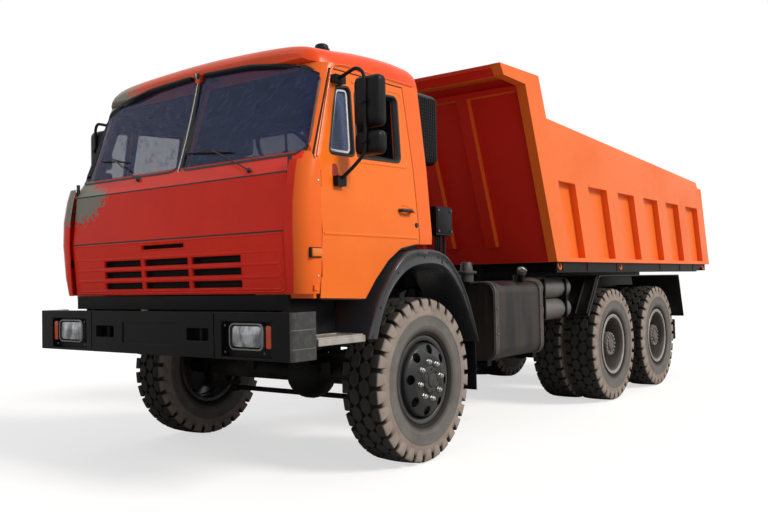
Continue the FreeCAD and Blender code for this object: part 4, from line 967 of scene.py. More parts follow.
def soft_line(points, count):
    # The quadratic spline of a polygon, at evenly spaced points
    ends = [Vector(p) for p in points]
    middles = [(a + b) / 2 for a, b in zip(ends, ends[1:])]
    middles[0] = ends[0]
    middles[-1] = ends[-1]
    line = []
    for first, corner, last in zip(middles, ends[1:], middles[1:]):
        line += [bend(first, corner, last, k / 12) for k in range(12)]
    line.append(ends[-1])
    lengths = [0.0]
    for a, b in zip(line, line[1:]):
        lengths.append(lengths[-1] + (b - a).length)
    even = []
    k = 0
    for i in range(count):
        aim = lengths[-1] * i / (count - 1)
        while k < len(line) - 2 and lengths[k + 1] < aim:
            k += 1
        share = (aim - lengths[k]) / max(lengths[k + 1] - lengths[k], 1e-9)
        even.append(line[k].lerp(line[k + 1], min(share, 1.0)))
    return even


def wing_half(front):
    # The whole band drawn out from its section, then cut where the cab parts from the frame
    outer = soft_line(WING_OUT, WING_STATIONS)
    inner = soft_line(WING_IN, WING_STATIONS)
    profile = [(0.901, 0.0), (1.195, 0.0), (1.22, 0.04), (1.235, 0.14), (1.2345, 0.22), (1.229, 0.3),
               (1.2285, 0.62), (1.233, 0.72), (1.2392, 0.8), (1.2385, 0.9), (1.232, 0.965), (1.218, 1.0),
               (0.901, 1.0)]
    work = bmesh.new()
    rows = []
    for low, high in zip(inner, outer):
        spots = [low.lerp(high, share) for x, share in profile]
        rows.append([work.verts.new(at(x, p.x, p.y)) for (x, share), p in zip(profile, spots)])
    capped(work, rows)
    cut_at = 0.2025 if front else 0.2075
    whole = work.verts[:] + work.edges[:] + work.faces[:]
    cut = bmesh.ops.bisect_plane(work, geom=whole, plane_co=at(0, cut_at, 0), plane_no=(0, 1, 0),
                                 clear_outer=front, clear_inner=not front)
    edges = [e for e in cut["geom_cut"] if isinstance(e, bmesh.types.BMEdge)]
    bmesh.ops.edgeloop_fill(work, edges=edges)
    if not front:
        for v in work.verts:
            v.co.x = min(v.co.x, 1.2395)
    return meshed("wing", work, wing_satin)


def mirrored(*meshes):
    return [moved(mesh, 0, 0, 0, True) for mesh in meshes]


def both_sides(*meshes):
    return [half for mesh in meshes for half in (mesh, *mirrored(mesh))]


wing_screws = [(at(1.2285, y, z), LEFT) for y, z in
               ((-0.52, 1.063), (-0.325, 1.28), (-0.02, 1.385), (0.15, 1.388))]
front_halves = both_sides(wing_half(True), spread(round_screw, wing_screws, moulding))
for y in (-0.16, 0.06):
    front_halves += both_sides(slab(0.905, 0.96, y, y + 0.04, 1.41, 1.49, 0.003, wing_satin))
front_halves += both_sides(slab(1.2345, 1.2405, -0.113, 0.006, 1.4, 1.431, 0.003, wing_satin))
front_halves.append(cleaned("wing_fronts", chassis_black, lambda spot: abs(spot.x) > 0.88 and spot.y > -1.0))
fitted("wing_fronts_form", front_halves, "cab", "black_plastic", "wing_fronts", degrees=40.0)
rear_screws = [(at(1.2285, y, z), LEFT) for y, z in ((0.26, 1.352), (0.47, 1.13), (0.6, 0.88))]
rear_halves = both_sides(wing_half(False), spread(round_screw, rear_screws, moulding),
                         slab(0.95, 1.2, 0.677, 0.685, 0.411, 0.8, 0.002, moulding),
                         slab(0.955, 1.195, 0.64, 0.686, 0.776, 0.799, 0.003, wing_satin))
rear_halves.append(cleaned("wing_rears", chassis_black, lambda spot: abs(spot.x) > 0.94))
fitted("wing_rears_form", rear_halves, "chassis", "black_plastic", "wing_rears", degrees=40.0)


# Rear mudguards: one bent sheet over both wheels of a side, its edge rolled round a wire.
# They are black, with the rolled edge rubbed bare and road dirt thrown up underneath.

mud_black = coated("mud_black", (0.008, 0.0078, 0.0075), (0.055, 0.046, 0.038), (0.5, 0.95), 3.0, 0.42, 0.85,
                   grain=0.1, specular=0.25)
dressed("rear_mudguards", mud_black, 0.003)
guard_line = [at(1.184, 2.833, 0.862), at(1.184, 3.12, 1.239), at(1.184, 5.64, 1.234), at(1.184, 5.8, 0.74)]
guard_wires = both_sides(pipe(eased(guard_line, 0.06, 5), 0.005, strap_dark, 8))
for x in (0.66, 0.79, 0.92, 1.05, 1.165):
    guard_wires += both_sides(pipe([at(x, 2.836, 0.88), at(x, 3.106, 1.238)], 0.011, mud_black, 8))
fitted("mudguard_wires", guard_wires, "chassis", "black_steel")


# Steps: pressed light-alloy treads with a raised rim, on black arms below the doors.
# The treads are rubbed pale by boots, with dirt in the corners.

step_alloy = coated("step_alloy", (0.46, 0.44, 0.41), (0.24, 0.2, 0.16), (0.45, 0.75), 9.0, 0.35, 0.7,
                    metal=0.4, grain=0.1)


def tread_top(spot, way):
    return abs(spot.x) > 1.0 and spot.z > 0.866


dressed("cab_steps", chassis_black, 0.004, second=[(step_alloy, tread_top)])
RIM_Z = 0.909
tread_rim = [at(1.006, -1.115, RIM_Z), at(1.229, -1.115, RIM_Z), at(1.229, -0.696, RIM_Z),
             at(1.006, -0.696, RIM_Z)]
rims = both_sides(pipe(eased(tread_rim, 0.03, 4, True), 0.005, step_alloy, 8, True))
tread_nubs = []
for x in (1.05, 1.09, 1.13, 1.17, 1.2):
    tread_nubs += [(at(x, y, 0.904), UP) for y in (-1.07, -1.01, -0.95, -0.89, -0.83, -0.77)]
rims += both_sides(spread(round_screw, tread_nubs, step_alloy))
fitted("step_rims", rims, "chassis", "black_steel")


# Bumper: three pressed steel sections in satin black, with lamp recesses, tow openings and a plate recess.
# Rounded headlamps with fluted lenses in grey bezels stand in the recesses beside the indicators.

bumper_black = coated("bumper_black", (0.0085, 0.0088, 0.0105), (0.034, 0.031, 0.029), (0.52, 1.0), 2.0, 0.34,
                      0.6, grain=0.05, specular=0.09)
bumper_end = coated("bumper_end", (0.034, 0.034, 0.034), (0.085, 0.08, 0.074), (0.45, 0.85), 30.0, 0.36, 0.6,
                    grain=0.1)
BUMPER_Y = -1.3385


def bumper_tip(spot, way):
    return abs(spot.x) > 1.19 and abs(way.x) > 0.3


dressed("bumper", bumper_black, 0.005, 3, second=[(bumper_end, bumper_tip)])


def rounded(x0, x1, z0, z1, radius, steps=5):
    corners = [Vector((x0, 0, z0)), Vector((x1, 0, z0)), Vector((x1, 0, z1)), Vector((x0, 0, z1))]
    return eased(corners, radius, steps, True)


def frame_ring(x0, x1, z0, z1, radius, y0, y1, wide, finish):
    # A flanged frame standing in a recess: rounded rectangle, from the front edge y0 back to y1
    outline = rounded(x0, x1, z0, z1, radius)
    path = [(at(p.x, y0, p.z), FORWARD) for p in outline]
    return swept(path, [(0.0, 0.0), (0.0, y0 - y1), (wide, y0 - y1), (wide, -0.004), (wide * 0.6, 0.0)],
                 finish, True)


def lamp_lens(x0, x1, z0, z1, radius, y, crown, flutes, finish):
    # A crowned plate with upright flutes, inside a rounded rectangle
    work = bmesh.new()
    columns = flutes * 4 + 1
    cx, cz = (x0 + x1) / 2, (z0 + z1) / 2
    hx, hz = (x1 - x0) / 2, (z1 - z0) / 2
    rows = []
    for j in range(13):
        t = -1 + 2 * j / 12
        row = []
        for i in range(columns):
            s = -1 + 2 * i / (columns - 1)
            over = max(abs(s) * hx - (hx - radius), 0.0)
            high = hz - radius + math.sqrt(max(radius ** 2 - over ** 2, 0.0))
            ripple = 0.0016 * (1 - abs(math.cos(math.pi * flutes * (s + 1) / 2)))
            bulge = crown * (1 - s * s) * (1 - t * t)
            row.append(work.verts.new(at(cx + s * hx, y - bulge - ripple * (1 - t ** 6), cz + t * high)))
        rows.append(row)
    joined(work, rows, False)
    bmesh.ops.remove_doubles(work, verts=work.verts, dist=1e-5)
    return meshed("lens", work, finish, False)


# On the headlamp glass the pale second colour, in upright streaks, is a painted reflection of the reflector,
# not dust.
lamp_glass = coated("lamp_glass", (0.17, 0.19, 0.21), (0.66, 0.68, 0.7), (0.42, 0.62), 15.0, 0.05, 0.15,
                    metal=0.35, streak=0.4)
lamp_bezel = coated("lamp_bezel", (0.2, 0.2, 0.2), (0.2, 0.19, 0.18), (0.5, 0.9), 14.0, 0.25, 0.5,
                    metal=0.6)
amber = coated("amber_lens", (0.75, 0.07, 0.01), (0.4, 0.05, 0.014), (0.48, 0.9), 14.0, 0.16, 0.4)
head_parts = [frame_ring(0.741, 0.999, 0.858, 0.995, 0.034, -1.336, -1.303, 0.011, lamp_bezel),
              lamp_lens(0.75, 0.99, 0.867, 0.986, 0.027, -1.326, 0.006, 14, lamp_glass),
              slab(0.745, 0.995, -1.322, -1.301, 0.862, 0.991, 0.006, moulding)]
fitted("headlamp_units", both_sides(*head_parts), "chassis", "lamp_lens", "headlamps")
red_lens = coated("red_lens", (0.36, 0.012, 0.01), (0.16, 0.03, 0.022), (0.46, 0.85), 14.0, 0.16, 0.4)
clear_lens = coated("clear_lens", (0.52, 0.5, 0.46), (0.3, 0.27, 0.23), (0.46, 0.85), 14.0, 0.16, 0.4)
signal_parts = [slab(1.025, 1.073, -1.33, -1.301, 0.857, 0.996, 0.005, moulding),
                lamp_lens(1.029, 1.069, 0.863, 0.99, 0.01, -1.3305, 0.0025, 4, amber),
                slab(0.792, 0.953, 6.16, 6.214, 0.407, 0.663, 0.01, moulding)]
back_lenses = [(0.41, 0.49, red_lens), (0.494, 0.575, amber), (0.579, 0.66, clear_lens)]
for low, high, finish in back_lenses:
    signal_parts.append(slab(0.797, 0.948, 6.208, 6.229, low, high, 0.006, finish, 3))
fitted("signal_units", both_sides(*signal_parts), "chassis", "signal_lens", "signal_lamps")
bumper_trim = [frame_ring(0.363, 0.562, 0.892, 0.971, 0.018, BUMPER_Y, -1.272, 0.006, bumper_black),
               frame_ring(0.672, 1.078, 0.809, 1.015, 0.03, BUMPER_Y, -1.302, 0.007, bumper_black)]
trim_bolts = [(at(x, -1.3335, z), FORWARD) for x, z in
              ((0.3, 0.93), (0.7, 0.99), (0.7, 0.835), (1.02, 0.835))]
tow_pins = pipe([at(0.4625, -1.3, 0.89), at(0.4625, -1.3, 0.973)], 0.016, chassis_black, 16)
bumper_trim = both_sides(*bumper_trim, spread(round_screw, trim_bolts, bumper_end), tow_pins)
# The end grooves are drawn as thin pale beads: their pale colour is a painted highlight along the grooves.
for z in (0.862, 0.967):
    groove = [at(1.18, -1.3355, z), at(1.2365, -1.3355, z), at(1.2365, -1.15, z)]
    bumper_trim += both_sides(pipe(eased(groove, 0.028, 6), 0.0035, strap_grey, 6))
bumper_trim.append(frame_ring(-0.27, 0.27, 0.863, 0.993, 0.014, BUMPER_Y, -1.3345, 0.006, bumper_black))
fitted("bumper_trim", bumper_trim, "chassis", "black_steel")
# Black sheets close the inner sides of the step wells and front wheel arches: they stand in for hidden parts,
# and their black is partly painted shade.
inner_panels = both_sides(slab(0.966, 0.978, -1.136, -0.668, 0.862, 1.14, 0.004, moulding),
                          slab(0.535, 0.543, -0.7, 0.64, 0.96, 1.43, 0.003, chassis_black))
fitted("inner_panels", inner_panels, "chassis", "black_plastic")


# Cab: pressed steel panels in orange, with the faces turned to the front painted a deeper red as painted
# shade.
# Grey primer shows where the paint has flaked on the right front corner, and the inside is lined in dark
# felt. The front surround, the lift-up flap and the grille panel are pressings of their own.

def vector_maths(nodes, operation):
    made = nodes.new("ShaderNodeVectorMath")
    made.operation = operation
    return made


def flake_group():
    # A patch round a centre, flattened in height, with a ragged edge
    tree, node, into, out = group("flaked_patch", "ShaderNodeTree",
                                  [("Centre", "Vector"), ("Reach", "Float", 0.2), ("Flat", "Float", 1.0),
                                   ("Scale", "Float", 18.0), ("Raggedness", "Float", 0.9)],
                                  [("Mask", "Float")])
    spot = node.new("ShaderNodeTexCoord")
    away = vector_maths(node, "SUBTRACT")
    squeeze = node.new("ShaderNodeCombineXYZ")
    given(squeeze, {"X": 1.0, "Y": 1.0})
    shaped = vector_maths(node, "MULTIPLY")
    far = vector_maths(node, "LENGTH")
    share = maths(node, "DIVIDE")
    cloud = node.new("ShaderNodeTexNoise")
    given(cloud, {"Detail": 7.0, "Roughness": 0.6})
    rag = maths(node, "MULTIPLY_ADD")
    step = node.new("ShaderNodeMapRange")
    given(step, {"From Min": 1.0, "From Max": 0.96})
    wire(tree.links, (spot, "Object", away, 0), (into, "Centre", away, 1), (into, "Flat", squeeze, "Z"),
         (away, 0, shaped, 0), (squeeze, 0, shaped, 1), (shaped, 0, far, 0), (far, "Value", share, 0),
         (into, "Reach", share, 1), (spot, "Object", cloud, "Vector"), (into, "Scale", cloud, "Scale"),
         (cloud, "Fac", rag, 0), (into, "Raggedness", rag, 1), (share, 0, rag, 2), (rag, 0, step, "Value"),
         (step, "Result", out, "Mask"))
    return tree


flaked_patch = flake_group()


def flake(made, centre, reach, flat, scale, ragged, colour):
    # Lays a ragged patch of another colour over a material's paint
    tree = made.node_tree
    shader = tree.nodes["Principled BSDF"]
    below = shader.inputs["Base Color"].links[0].from_socket
    patch = group_node(tree.nodes, flaked_patch, {"Centre": at(*centre), "Reach": reach, "Flat": flat,
                                                  "Scale": scale, "Raggedness": ragged})
    tree.links.new(colour_mix(tree, patch.outputs["Mask"], below, colour), shader.inputs["Base Color"])


# Edge radius of a pressed panel, its steps, and the least angle that is rounded
PRESSING = (0.004, 2, 28.0)
FLAP_TOP = 1.875
GRILLE_TOP = 1.53
SILL_Z = 1.985
OUTSIDE = 1.5


def cab_paint(name, colour, dust_and_sheen, specular, spread=(0.45, 0.95)):
    return coated(name, colour, dust_and_sheen, spread, 1.3, 0.3, 0.42, coat=0.08, grain=0.01, specular=specular)


cab_orange = cab_paint("cab_orange", (0.9, 0.15, 0.014), (0.8, 0.125, 0.016), 0.2)
# The front's deeper red is painted shade; the sides and doors keep the cab's orange.
front_shaded_paint = cab_paint("front_shaded_paint", (0.95, 0.034, 0.013), (0.74, 0.026, 0.012), 0.1, (0.42, 0.9))
PRIMER = (0.27, 0.265, 0.21)
ROOF_PATCH = ((-1.03, -0.93, 2.6), 0.8, 1.8, 30.0, 1.15)
for finish, patch in ((front_shaded_paint, ((-1.0, -1.16, 1.82), 0.56, 1.7, 30.0, 1.15)),
                      (front_shaded_paint, ((-0.84, -1.15, 1.875), 0.4, 2.6, 44.0, 1.25)),
                      (front_shaded_paint, ((-1.08, -1.1, 1.96), 0.34, 1.3, 34.0, 1.15)),
                      (cab_orange, ((-1.1, -1.06, 1.99), 0.3, 1.0, 34.0, 1.15)),
                      (cab_orange, ROOF_PATCH)):
    flake(finish, *patch, PRIMER)
lining = coated("lining_felt", (0.028, 0.03, 0.042), (0.04, 0.041, 0.052), (0.4, 0.85), 3.0, 0.85, 0.95,
                grain=0.02, specular=0.1)


def inside(spot, way):
    # The faces that look into the cab, above its floor
    side = 1 if spot.x > 0 else -1
    if spot.z < 1.47 or spot.z > 2.66 or abs(spot.x) > 1.165 or spot.y < -1.15:
        return False
    wall = way.x * side < -0.6 or (way.y > 0.6 and spot.y < -0.7) or (way.y < -0.6 and spot.y > -0.02)
    ceiling = way.z < -0.6 and spot.z > 2.5
    floor = way.z > 0.6 and spot.z < 1.6 and abs(spot.x) < 1.1
    return wall or ceiling or floor


def low_bracket(spot, way):
    return spot.z < 1.17 and 0.84 < abs(spot.x) < 0.9


def outer_side(spot, way):
    return way.x * spot.x > 0.42


dressed("cab_shell", cab_orange, *PRESSING, second=[(lining, inside), (chassis_black, low_bracket)])
# The front pressings take the red painted shade, and their faces turned to the sides keep the orange.
for node in ("front_surround", "front_flap", "grille_panel"):
    dressed(node, front_shaded_paint, *PRESSING, second=[(cab_orange, outer_side)])


# Roof: one deep pressing with rounded shoulders, its front edge let down over the windscreen.
# A vent hatch lies on top, with a round lamp on the left front. The rain gutters come with the cab trim.

# Half sections at stations along Y: x, and height over the roof's line, in millimetres
ROOF = [(-0.915, [(960, 30), (950, 44), (900, 60), (760, 76), (480, 92), (0, 102)]),
        (-0.89, [(1005, 10), (996, 50), (950, 84), (820, 110), (520, 130), (0, 142)]),
        (-0.85, [(1045, 0), (1038, 56), (990, 98), (880, 134), (580, 158), (0, 176)]),
        (-0.7, [(1080, 0), (1074, 60), (1030, 102), (920, 136), (620, 186), (0, 218)]),
        (-0.45, [(1092, 0), (1087, 78), (1050, 122), (950, 158), (640, 198), (0, 226)]),
        (-0.15, [(1099, 0), (1095, 88), (1058, 134), (958, 170), (658, 206), (0, 230)]),
        (0.12, [(1100, 0), (1095, 50), (1060, 120), (960, 164), (660, 192), (0, 212)])]
ROOF_LINE = 2.5753


def smooth_value(keys, values, t):
    # A soft curve through keyed values, without overshoot beyond its neighbours
    for i in range(len(keys) - 1):
        if t <= keys[i + 1] or i == len(keys) - 2:
            break
    span = keys[i + 1] - keys[i]
    slopes = []
    for k in (i, i + 1):
        if 0 < k < len(keys) - 1:
            left = (values[k] - values[k - 1]) / (keys[k] - keys[k - 1])
            right = (values[k + 1] - values[k]) / (keys[k + 1] - keys[k])
            slopes.append(0.0 if left * right <= 0 else 2 * left * right / (left + right))
        else:
            near = max(k, 1)
            slopes.append((values[near] - values[near - 1]) / (keys[near] - keys[near - 1]))
    u = (t - keys[i]) / span
    return (values[i] * (2 * u ** 3 - 3 * u ** 2 + 1) + slopes[0] * span * (u ** 3 - 2 * u ** 2 + u)
            + values[i + 1] * (3 * u ** 2 - 2 * u ** 3) + slopes[1] * span * (u ** 3 - u ** 2))


def roof_half(y):
    keys = [y_key for y_key, section in ROOF]
    corners = []
    for k in range(6):
        corners.append([smooth_value(keys, [section[k][i] for y_key, section in ROOF], y) / 1000
                        for i in (0, 1)])
    return corners


def roof_form():
    stations_y = [-0.915, -0.905, -0.893, -0.88, -0.862, -0.84, -0.81, -0.77, -0.72, -0.65, -0.57, -0.47,
                  -0.36, -0.25, -0.15, -0.05, 0.03, 0.075, 0.105, 0.12]
    work = bmesh.new()
    rows = []
    for y in stations_y:
        corners = roof_half(y)
        line = soft_line(corners + [(-x, z) for x, z in reversed(corners[:-1])], 49)
        drop = 0.012 * max((y - 0.075) / 0.045, 0.0) ** 2
        rows.append([work.verts.new(at(p.x, y, ROOF_LINE + max(p.y - drop, 0.0))) for p in line])
    for one, two in zip(rows, rows[1:]):
        for i in range(len(one) - 1):
            work.faces.new((one[i], one[i + 1], two[i + 1], two[i]))
        work.faces.new((one[0], two[0], two[-1], one[-1]))
    work.faces.new(rows[0])
    work.faces.new(rows[-1][::-1])
    return meshed("roof", work)


# The left half of the windscreen's opening, as (x, z)
SCREEN = [(0.025, SILL_Z), (1.06, SILL_Z), (1.108, 2.04), (1.066, 2.5), (0.94, 2.565), (0.5, 2.632),
          (0.025, 2.65)]


def screen_cutter(way):
    work = bmesh.new()
    ends = []
    for y in (-1.3, -0.79):
        ends.append([work.verts.new(at(way * x, y, z)) for x, z in SCREEN])
    capped(work, ends)
    bmesh.ops.recalc_face_normals(work, faces=work.faces)
    return work


roof_mesh = cut_by(roof_form(), [screen_cutter(1), screen_cutter(-1)])
# The roof is painted a redder orange than the cab's sides: painted shade from its shaded front edge, laid
# over the whole pressing and the hatch.
roof_shaded_paint = cab_paint("roof_shaded_paint", (0.92, 0.085, 0.014), (0.76, 0.07, 0.014), 0.15)
flake(roof_shaded_paint, *ROOF_PATCH, PRIMER)
roof_mesh.materials.append(roof_shaded_paint)
roof_lining = slab(-1.015, 1.015, -0.79, 0.055, 2.566, 2.58, 0.004, lining)
fitted("roof_pressing", [roof_mesh, roof_lining], "cab", "cab_paint", "cab_roof", degrees=42.0)
dome = stud([(0.052, -0.03), (0.052, 0.004), (0.045, 0.01), (0.044, 0.022), (0.038, 0.031), (0.026, 0.037),
             (0.01, 0.039)], 20)
dome_lamps = spread(dome, [(at(0.89, -0.65, 2.721), UP)], moulding)
hatch = slab(-0.25, 0.25, -0.42, -0.02, 2.765, 2.8045, 0.012, roof_shaded_paint, 3)
fitted("roof_fittings", [dome_lamps, hatch], "cab", "cab_paint")


# Windows: toughened panes set in black rubber seals, the door vents in bright frames.
# The windscreen is two gently curved panes with a black centre bar and a thin bright strip.

def skin_of(*names):
    spots = []
    faces = []
    for name in names:
        mesh = nodes[name].data
        first = len(spots)
        spots += [v.co.copy() for v in mesh.vertices]
        faces += [[first + i for i in f.vertices] for f in mesh.polygons]
    return BVHTree.FromPolygons(spots, faces)


def tinted(name, colour, clear, tint):
    # Dark glass that is partly clear
    made, tree, links, shader = material(name)
    given(shader, {"Base Color": (*colour, 1), "Roughness": 0.13, "Alpha": clear,
                   "Specular IOR Level": 0.8, "Specular Tint": (*tint, 1)})
    return made


screen_glass = tinted("screen_glass", (0.026, 0.04, 0.13), 0.62, (0.45, 0.58, 1.0))
vent_glass = tinted("vent_glass", (0.12, 0.17, 0.36), 0.36, (0.7, 0.82, 1.0))
rubber_seal = coated("rubber_seal", (0.01, 0.01, 0.011), (0.035, 0.032, 0.03), (0.5, 0.95), 9.0, 0.45,
                     0.75, specular=0.35)
bright_trim = coated("bright_trim", (0.66, 0.66, 0.65), (0.4, 0.37, 0.33), (0.5, 0.9), 14.0, 0.24, 0.5,
                     metal=0.7)


def filled(line, spacing, closed=True):
    # Puts extra points on the long runs of a line
    dense = []
    for one, two in list(zip(line, line[1:])) + ([(line[-1], line[0])] if closed else []):
        parts = max(int((two - one).length / spacing), 1)
        dense += [one.lerp(two, k / parts) for k in range(parts)]
    return dense


def eased_flat(outline, radius, steps, closed=True):
    return eased([Vector((a, b, 0)) for a, b in outline], radius, steps, closed)


def facing_line(outline, radius, steps, spacing=0.05):
    # Rounded corners and extra points on the long runs, with each point's outward normal in the plane
    dense = filled(eased_flat(outline, radius, steps), spacing)
    area = sum(a.x * b.y - b.x * a.y for a, b in zip(dense, dense[1:] + dense[:1]))
    rows = []
    for i, spot in enumerate(dense):
        run = (dense[(i + 1) % len(dense)] - dense[i - 1]).normalized()
        out = Vector((run.y, -run.x, 0)) if area > 0 else Vector((-run.y, run.x, 0))
        rows.append((spot, out))
    return rows


SEAL_RISE = 0.004


def seal_ring(outline, spot_at, way, skin, finish, radius=0.05, outer=0.01, inner=0.02, depth=0.03,
              pane=None):
    # A rubber moulding lying on the skin round an opening and reaching in to the pane
    work = bmesh.new()
    rows = []
    last = {}

    def ground(key, a, b):
        hit = skin.ray_cast(spot_at(a, b), way)[0]
        level = hit.dot(way) if hit else last.get(key)
        last[key] = level
        return spot_at(a, b) + way * (level - spot_at(a, b).dot(way))

    for spot, out in facing_line(outline, radius, 6):
        far = spot + out * outer
        crest = spot + out * 0.006
        lip = spot - out * inner * 0.5
        near = spot - out * inner
        on_skin = ground("far", far.x, far.y)
        top = ground("crest", crest.x, crest.y)
        level = top.dot(way)

        def sunk(point, amount):
            start = spot_at(point.x, point.y)
            return start + way * (level + amount - start.dot(way))

        deep = depth if pane is None else max(pane(near.x, near.y) - level, 0.006)
        row = [on_skin + way * 0.002, on_skin - way * SEAL_RISE * 0.5, top - way * SEAL_RISE,
               sunk(spot - out * 0.002, -SEAL_RISE * 0.6), sunk(lip, deep * 0.4), sunk(near, deep),
               sunk(near, deep + 0.004), sunk(crest, deep + 0.004)]
        rows.append([work.verts.new(p) for p in row])
    joined(work, rows, True, True)
    return meshed("seal", work, finish)


cab_front_skin = skin_of("cab_shell", "cab_roof", "front_surround")
left_skin = skin_of("door_left", "cab_shell")
rear_skin = skin_of("cab_shell", "cab_roof")
AHEAD = Vector((0, 1, 0))
INWARD = Vector((-1, 0, 0))


def pane_y(x, z):
    # The panes lean back with the pillars and curve away at their outer edges
    up = z - SILL_Z
    out = max(abs(x) - 1.0, 0.0)
    return -1.073 + 0.344 * up - 0.0923 * up ** 2 + 0.06 * up * x ** 2 + 4.0 * out ** 2


PANE_THICK = 0.005


def screen_pane():
    # A sheet from the centre bar out to the opening's right edge, in level rows
    right = SCREEN[1:-1] + [(0.06, 2.6485)]
    levels = [1.986, 2.0, 2.02, 2.04] + [2.08 + 0.042 * k for k in range(11)]
    levels += [2.52, 2.545, 2.565, 2.585, 2.605, 2.62, 2.632, 2.64, 2.6484]
    work = bmesh.new()
    rows = []
    for z in levels:
        for (xa, za), (xb, zb) in zip(right, right[1:]):
            if za <= z <= zb:
                break
        wide = xa + (xb - xa) * (z - za) / (zb - za)
        rows.append([])
        for k in range(25):
            x = 0.004 + (wide - 0.004) * k / 24
            rows[-1].append(work.verts.new(at(x, pane_y(x, z), z)))
    joined(work, rows, False)
    bmesh.ops.solidify(work, geom=work.faces[:], thickness=-PANE_THICK)
    return meshed("pane", work, screen_glass)


def front_spot(x, z):
    return at(x, -OUTSIDE, z)


def back_spot(x, z):
    return at(x, 0.5, z)


def pane_level(x, z):
    return front_axle + pane_y(x, z)


screen_seals = both_sides(seal_ring(SCREEN, front_spot, AHEAD, cab_front_skin, rubber_seal, 0.07,
                                    pane=pane_level))
lean_back = Vector((0, -1, 0.32)).normalized()
bar_path = []
for i in range(15):
    z = 1.972 + 0.644 * i / 14
    bar_path.append((at(0, pane_y(0, z) - 0.008, z), lean_back))
for z in (2.636, 2.652, 2.664):
    hit = cab_front_skin.ray_cast(at(0.019, -OUTSIDE, z), AHEAD)[0]
    if hit:
        bar_path.append((Vector((0, hit.y - 0.004, z)), lean_back))
bar_profile = [(-0.024, -0.006), (-0.022, 0.003), (-0.007, 0.006), (0.007, 0.006), (0.022, 0.003),
               (0.024, -0.006)]
centre_bar = swept(bar_path, bar_profile, rubber_seal)
centre_strip = swept(bar_path, [(-0.0035, 0.004), (-0.0025, 0.009), (0.0025, 0.009), (0.0035, 0.004)],
                     bright_trim)
rear_outline = [(-0.7, 1.98), (0.7, 1.98), (0.7, 2.42), (-0.7, 2.42)]
rear_seal = seal_ring(rear_outline, back_spot, FORWARD, rear_skin, rubber_seal, 0.06)
fitted("screen_seals", screen_seals + [centre_bar, centre_strip, rear_seal], "cab", "black_plastic",
       degrees=50.0)
rear_pane = slab(-0.6997, 0.6997, 0.08, 0.086, 1.9803, 2.4197, 0.0, screen_glass)
fitted("window_panes", both_sides(screen_pane()) + [rear_pane], "cab", "window_glass", "cab_glass")
for side in ("left", "right"):
    dressed("door_glass_" + side, vent_glass)


# Doors: pressed skins over a frame, with a crease under the windows, a bead round the main window and a
# handle in a recess.
# Each hangs on two hinges at its front edge and closes against a black seal.

# The openings and the door's edge, as (y, z)
WINDOW = [(-0.647, 2.004), (-0.602, 2.437), (-0.15, 2.46), (-0.188, 2.018)]
VENT = [(-0.912, 2.0), (-0.785, 2.425), (-0.655, 2.438), (-0.68, 2.006)]
DOOR = [(-1.03, 1.138), (-0.607, 1.123), (-0.504, 1.245), (-0.38, 1.362), (-0.244, 1.443), (-0.09, 1.47),
        (-0.035, 1.474), (-0.035, 2.47), (-0.07, 2.54), (-0.815, 2.53), (-1.03, 1.975)]
door_orange = cab_paint("door_orange", (0.92, 0.18, 0.016), (0.82, 0.14, 0.016), 0.2)
for way in (1, -1):
    flake(door_orange, (way * 1.176, -0.875, 1.87), 0.045, 0.45, 30.0, 0.55, (0.3, 0.02, 0.01))


def handle_block(spot):
    return 1.665 < spot.z < 1.715 and -0.22 < spot.y < -0.03 and abs(spot.x) > 1.192


for side in ("left", "right"):
    dressed("door_" + side, door_orange, *PRESSING, without=handle_block, second=[(lining, inside)])
NEARLY_LEFT = Vector((1, 0, 0.12)).normalized()


def on_side(y, z, skin=left_skin):
    hit, normal = skin.ray_cast(at(OUTSIDE, y, z), INWARD)[:2]
    if not hit:
        hit, normal = skin.find_nearest(at(1.19, y, z))[:2]
    return hit, normal


def bead_on_side(points, profile, finish):
    line = eased_flat(points, 0.05, 5, False)
    path = []
    for p in filled(line, 0.04, False) + [line[-1]]:
        hit, normal = on_side(p.x, p.y)
        path.append((hit, normal if normal.x >= 0.6 else NEARLY_LEFT))
    return swept(path, profile, finish)


def side_spot(y, z):
    return at(OUTSIDE, y, z)


def skin_x(z):
    # The door's skin leans in above the sill
    return 1.174 + (1.1 - 1.174) * (z - FLAP_TOP) / 0.7


low_bead = [(-0.014, -0.003), (-0.008, 0.002), (0.0, 0.0045), (0.008, 0.002), (0.014, -0.003)]
door_skin = skin_of("door_left")
window_seal = seal_ring(WINDOW, side_spot, INWARD, door_skin, rubber_seal, 0.045, 0.012, 0.02, 0.028)
vent_seal = seal_ring(VENT, side_spot, INWARD, door_skin, rubber_seal, 0.035, 0.012, 0.012, 0.026)
vent_inner = [(-0.89, 2.02), (-0.772, 2.408), (-0.672, 2.418), (-0.698, 2.024)]
vent_path = []
for spot, out in facing_line(vent_inner, 0.03, 5):
    vent_path.append((at(skin_x(spot.y) - 0.017, spot.x, spot.y), NEARLY_LEFT))
vent_profile = [(-0.007, -0.006), (-0.007, 0.004), (0.0, 0.006), (0.007, 0.004), (0.007, -0.006)]
vent_frame = swept(vent_path, vent_profile, bright_trim, True)
crease = bead_on_side([(-1.015, 1.513), (-0.06, 1.513)], low_bead, door_orange)
window_bead = bead_on_side([(-0.625, 2.482), (-0.094, 2.5), (-0.103, 1.987), (-0.66, 1.972)], low_bead,
                           door_orange)
recess_line = eased_flat([(-0.242, 1.657), (-0.128, 1.657), (-0.128, 1.73), (-0.242, 1.73)], 0.03, 5)
recess_out = Vector((1, 0, 0.06)).normalized()
recess_rim = swept([(on_side(p.x, p.y)[0], recess_out) for p in recess_line],
                   [(-0.01, -0.002), (-0.004, 0.003), (0.004, 0.003), (0.01, -0.002)], door_orange, True)
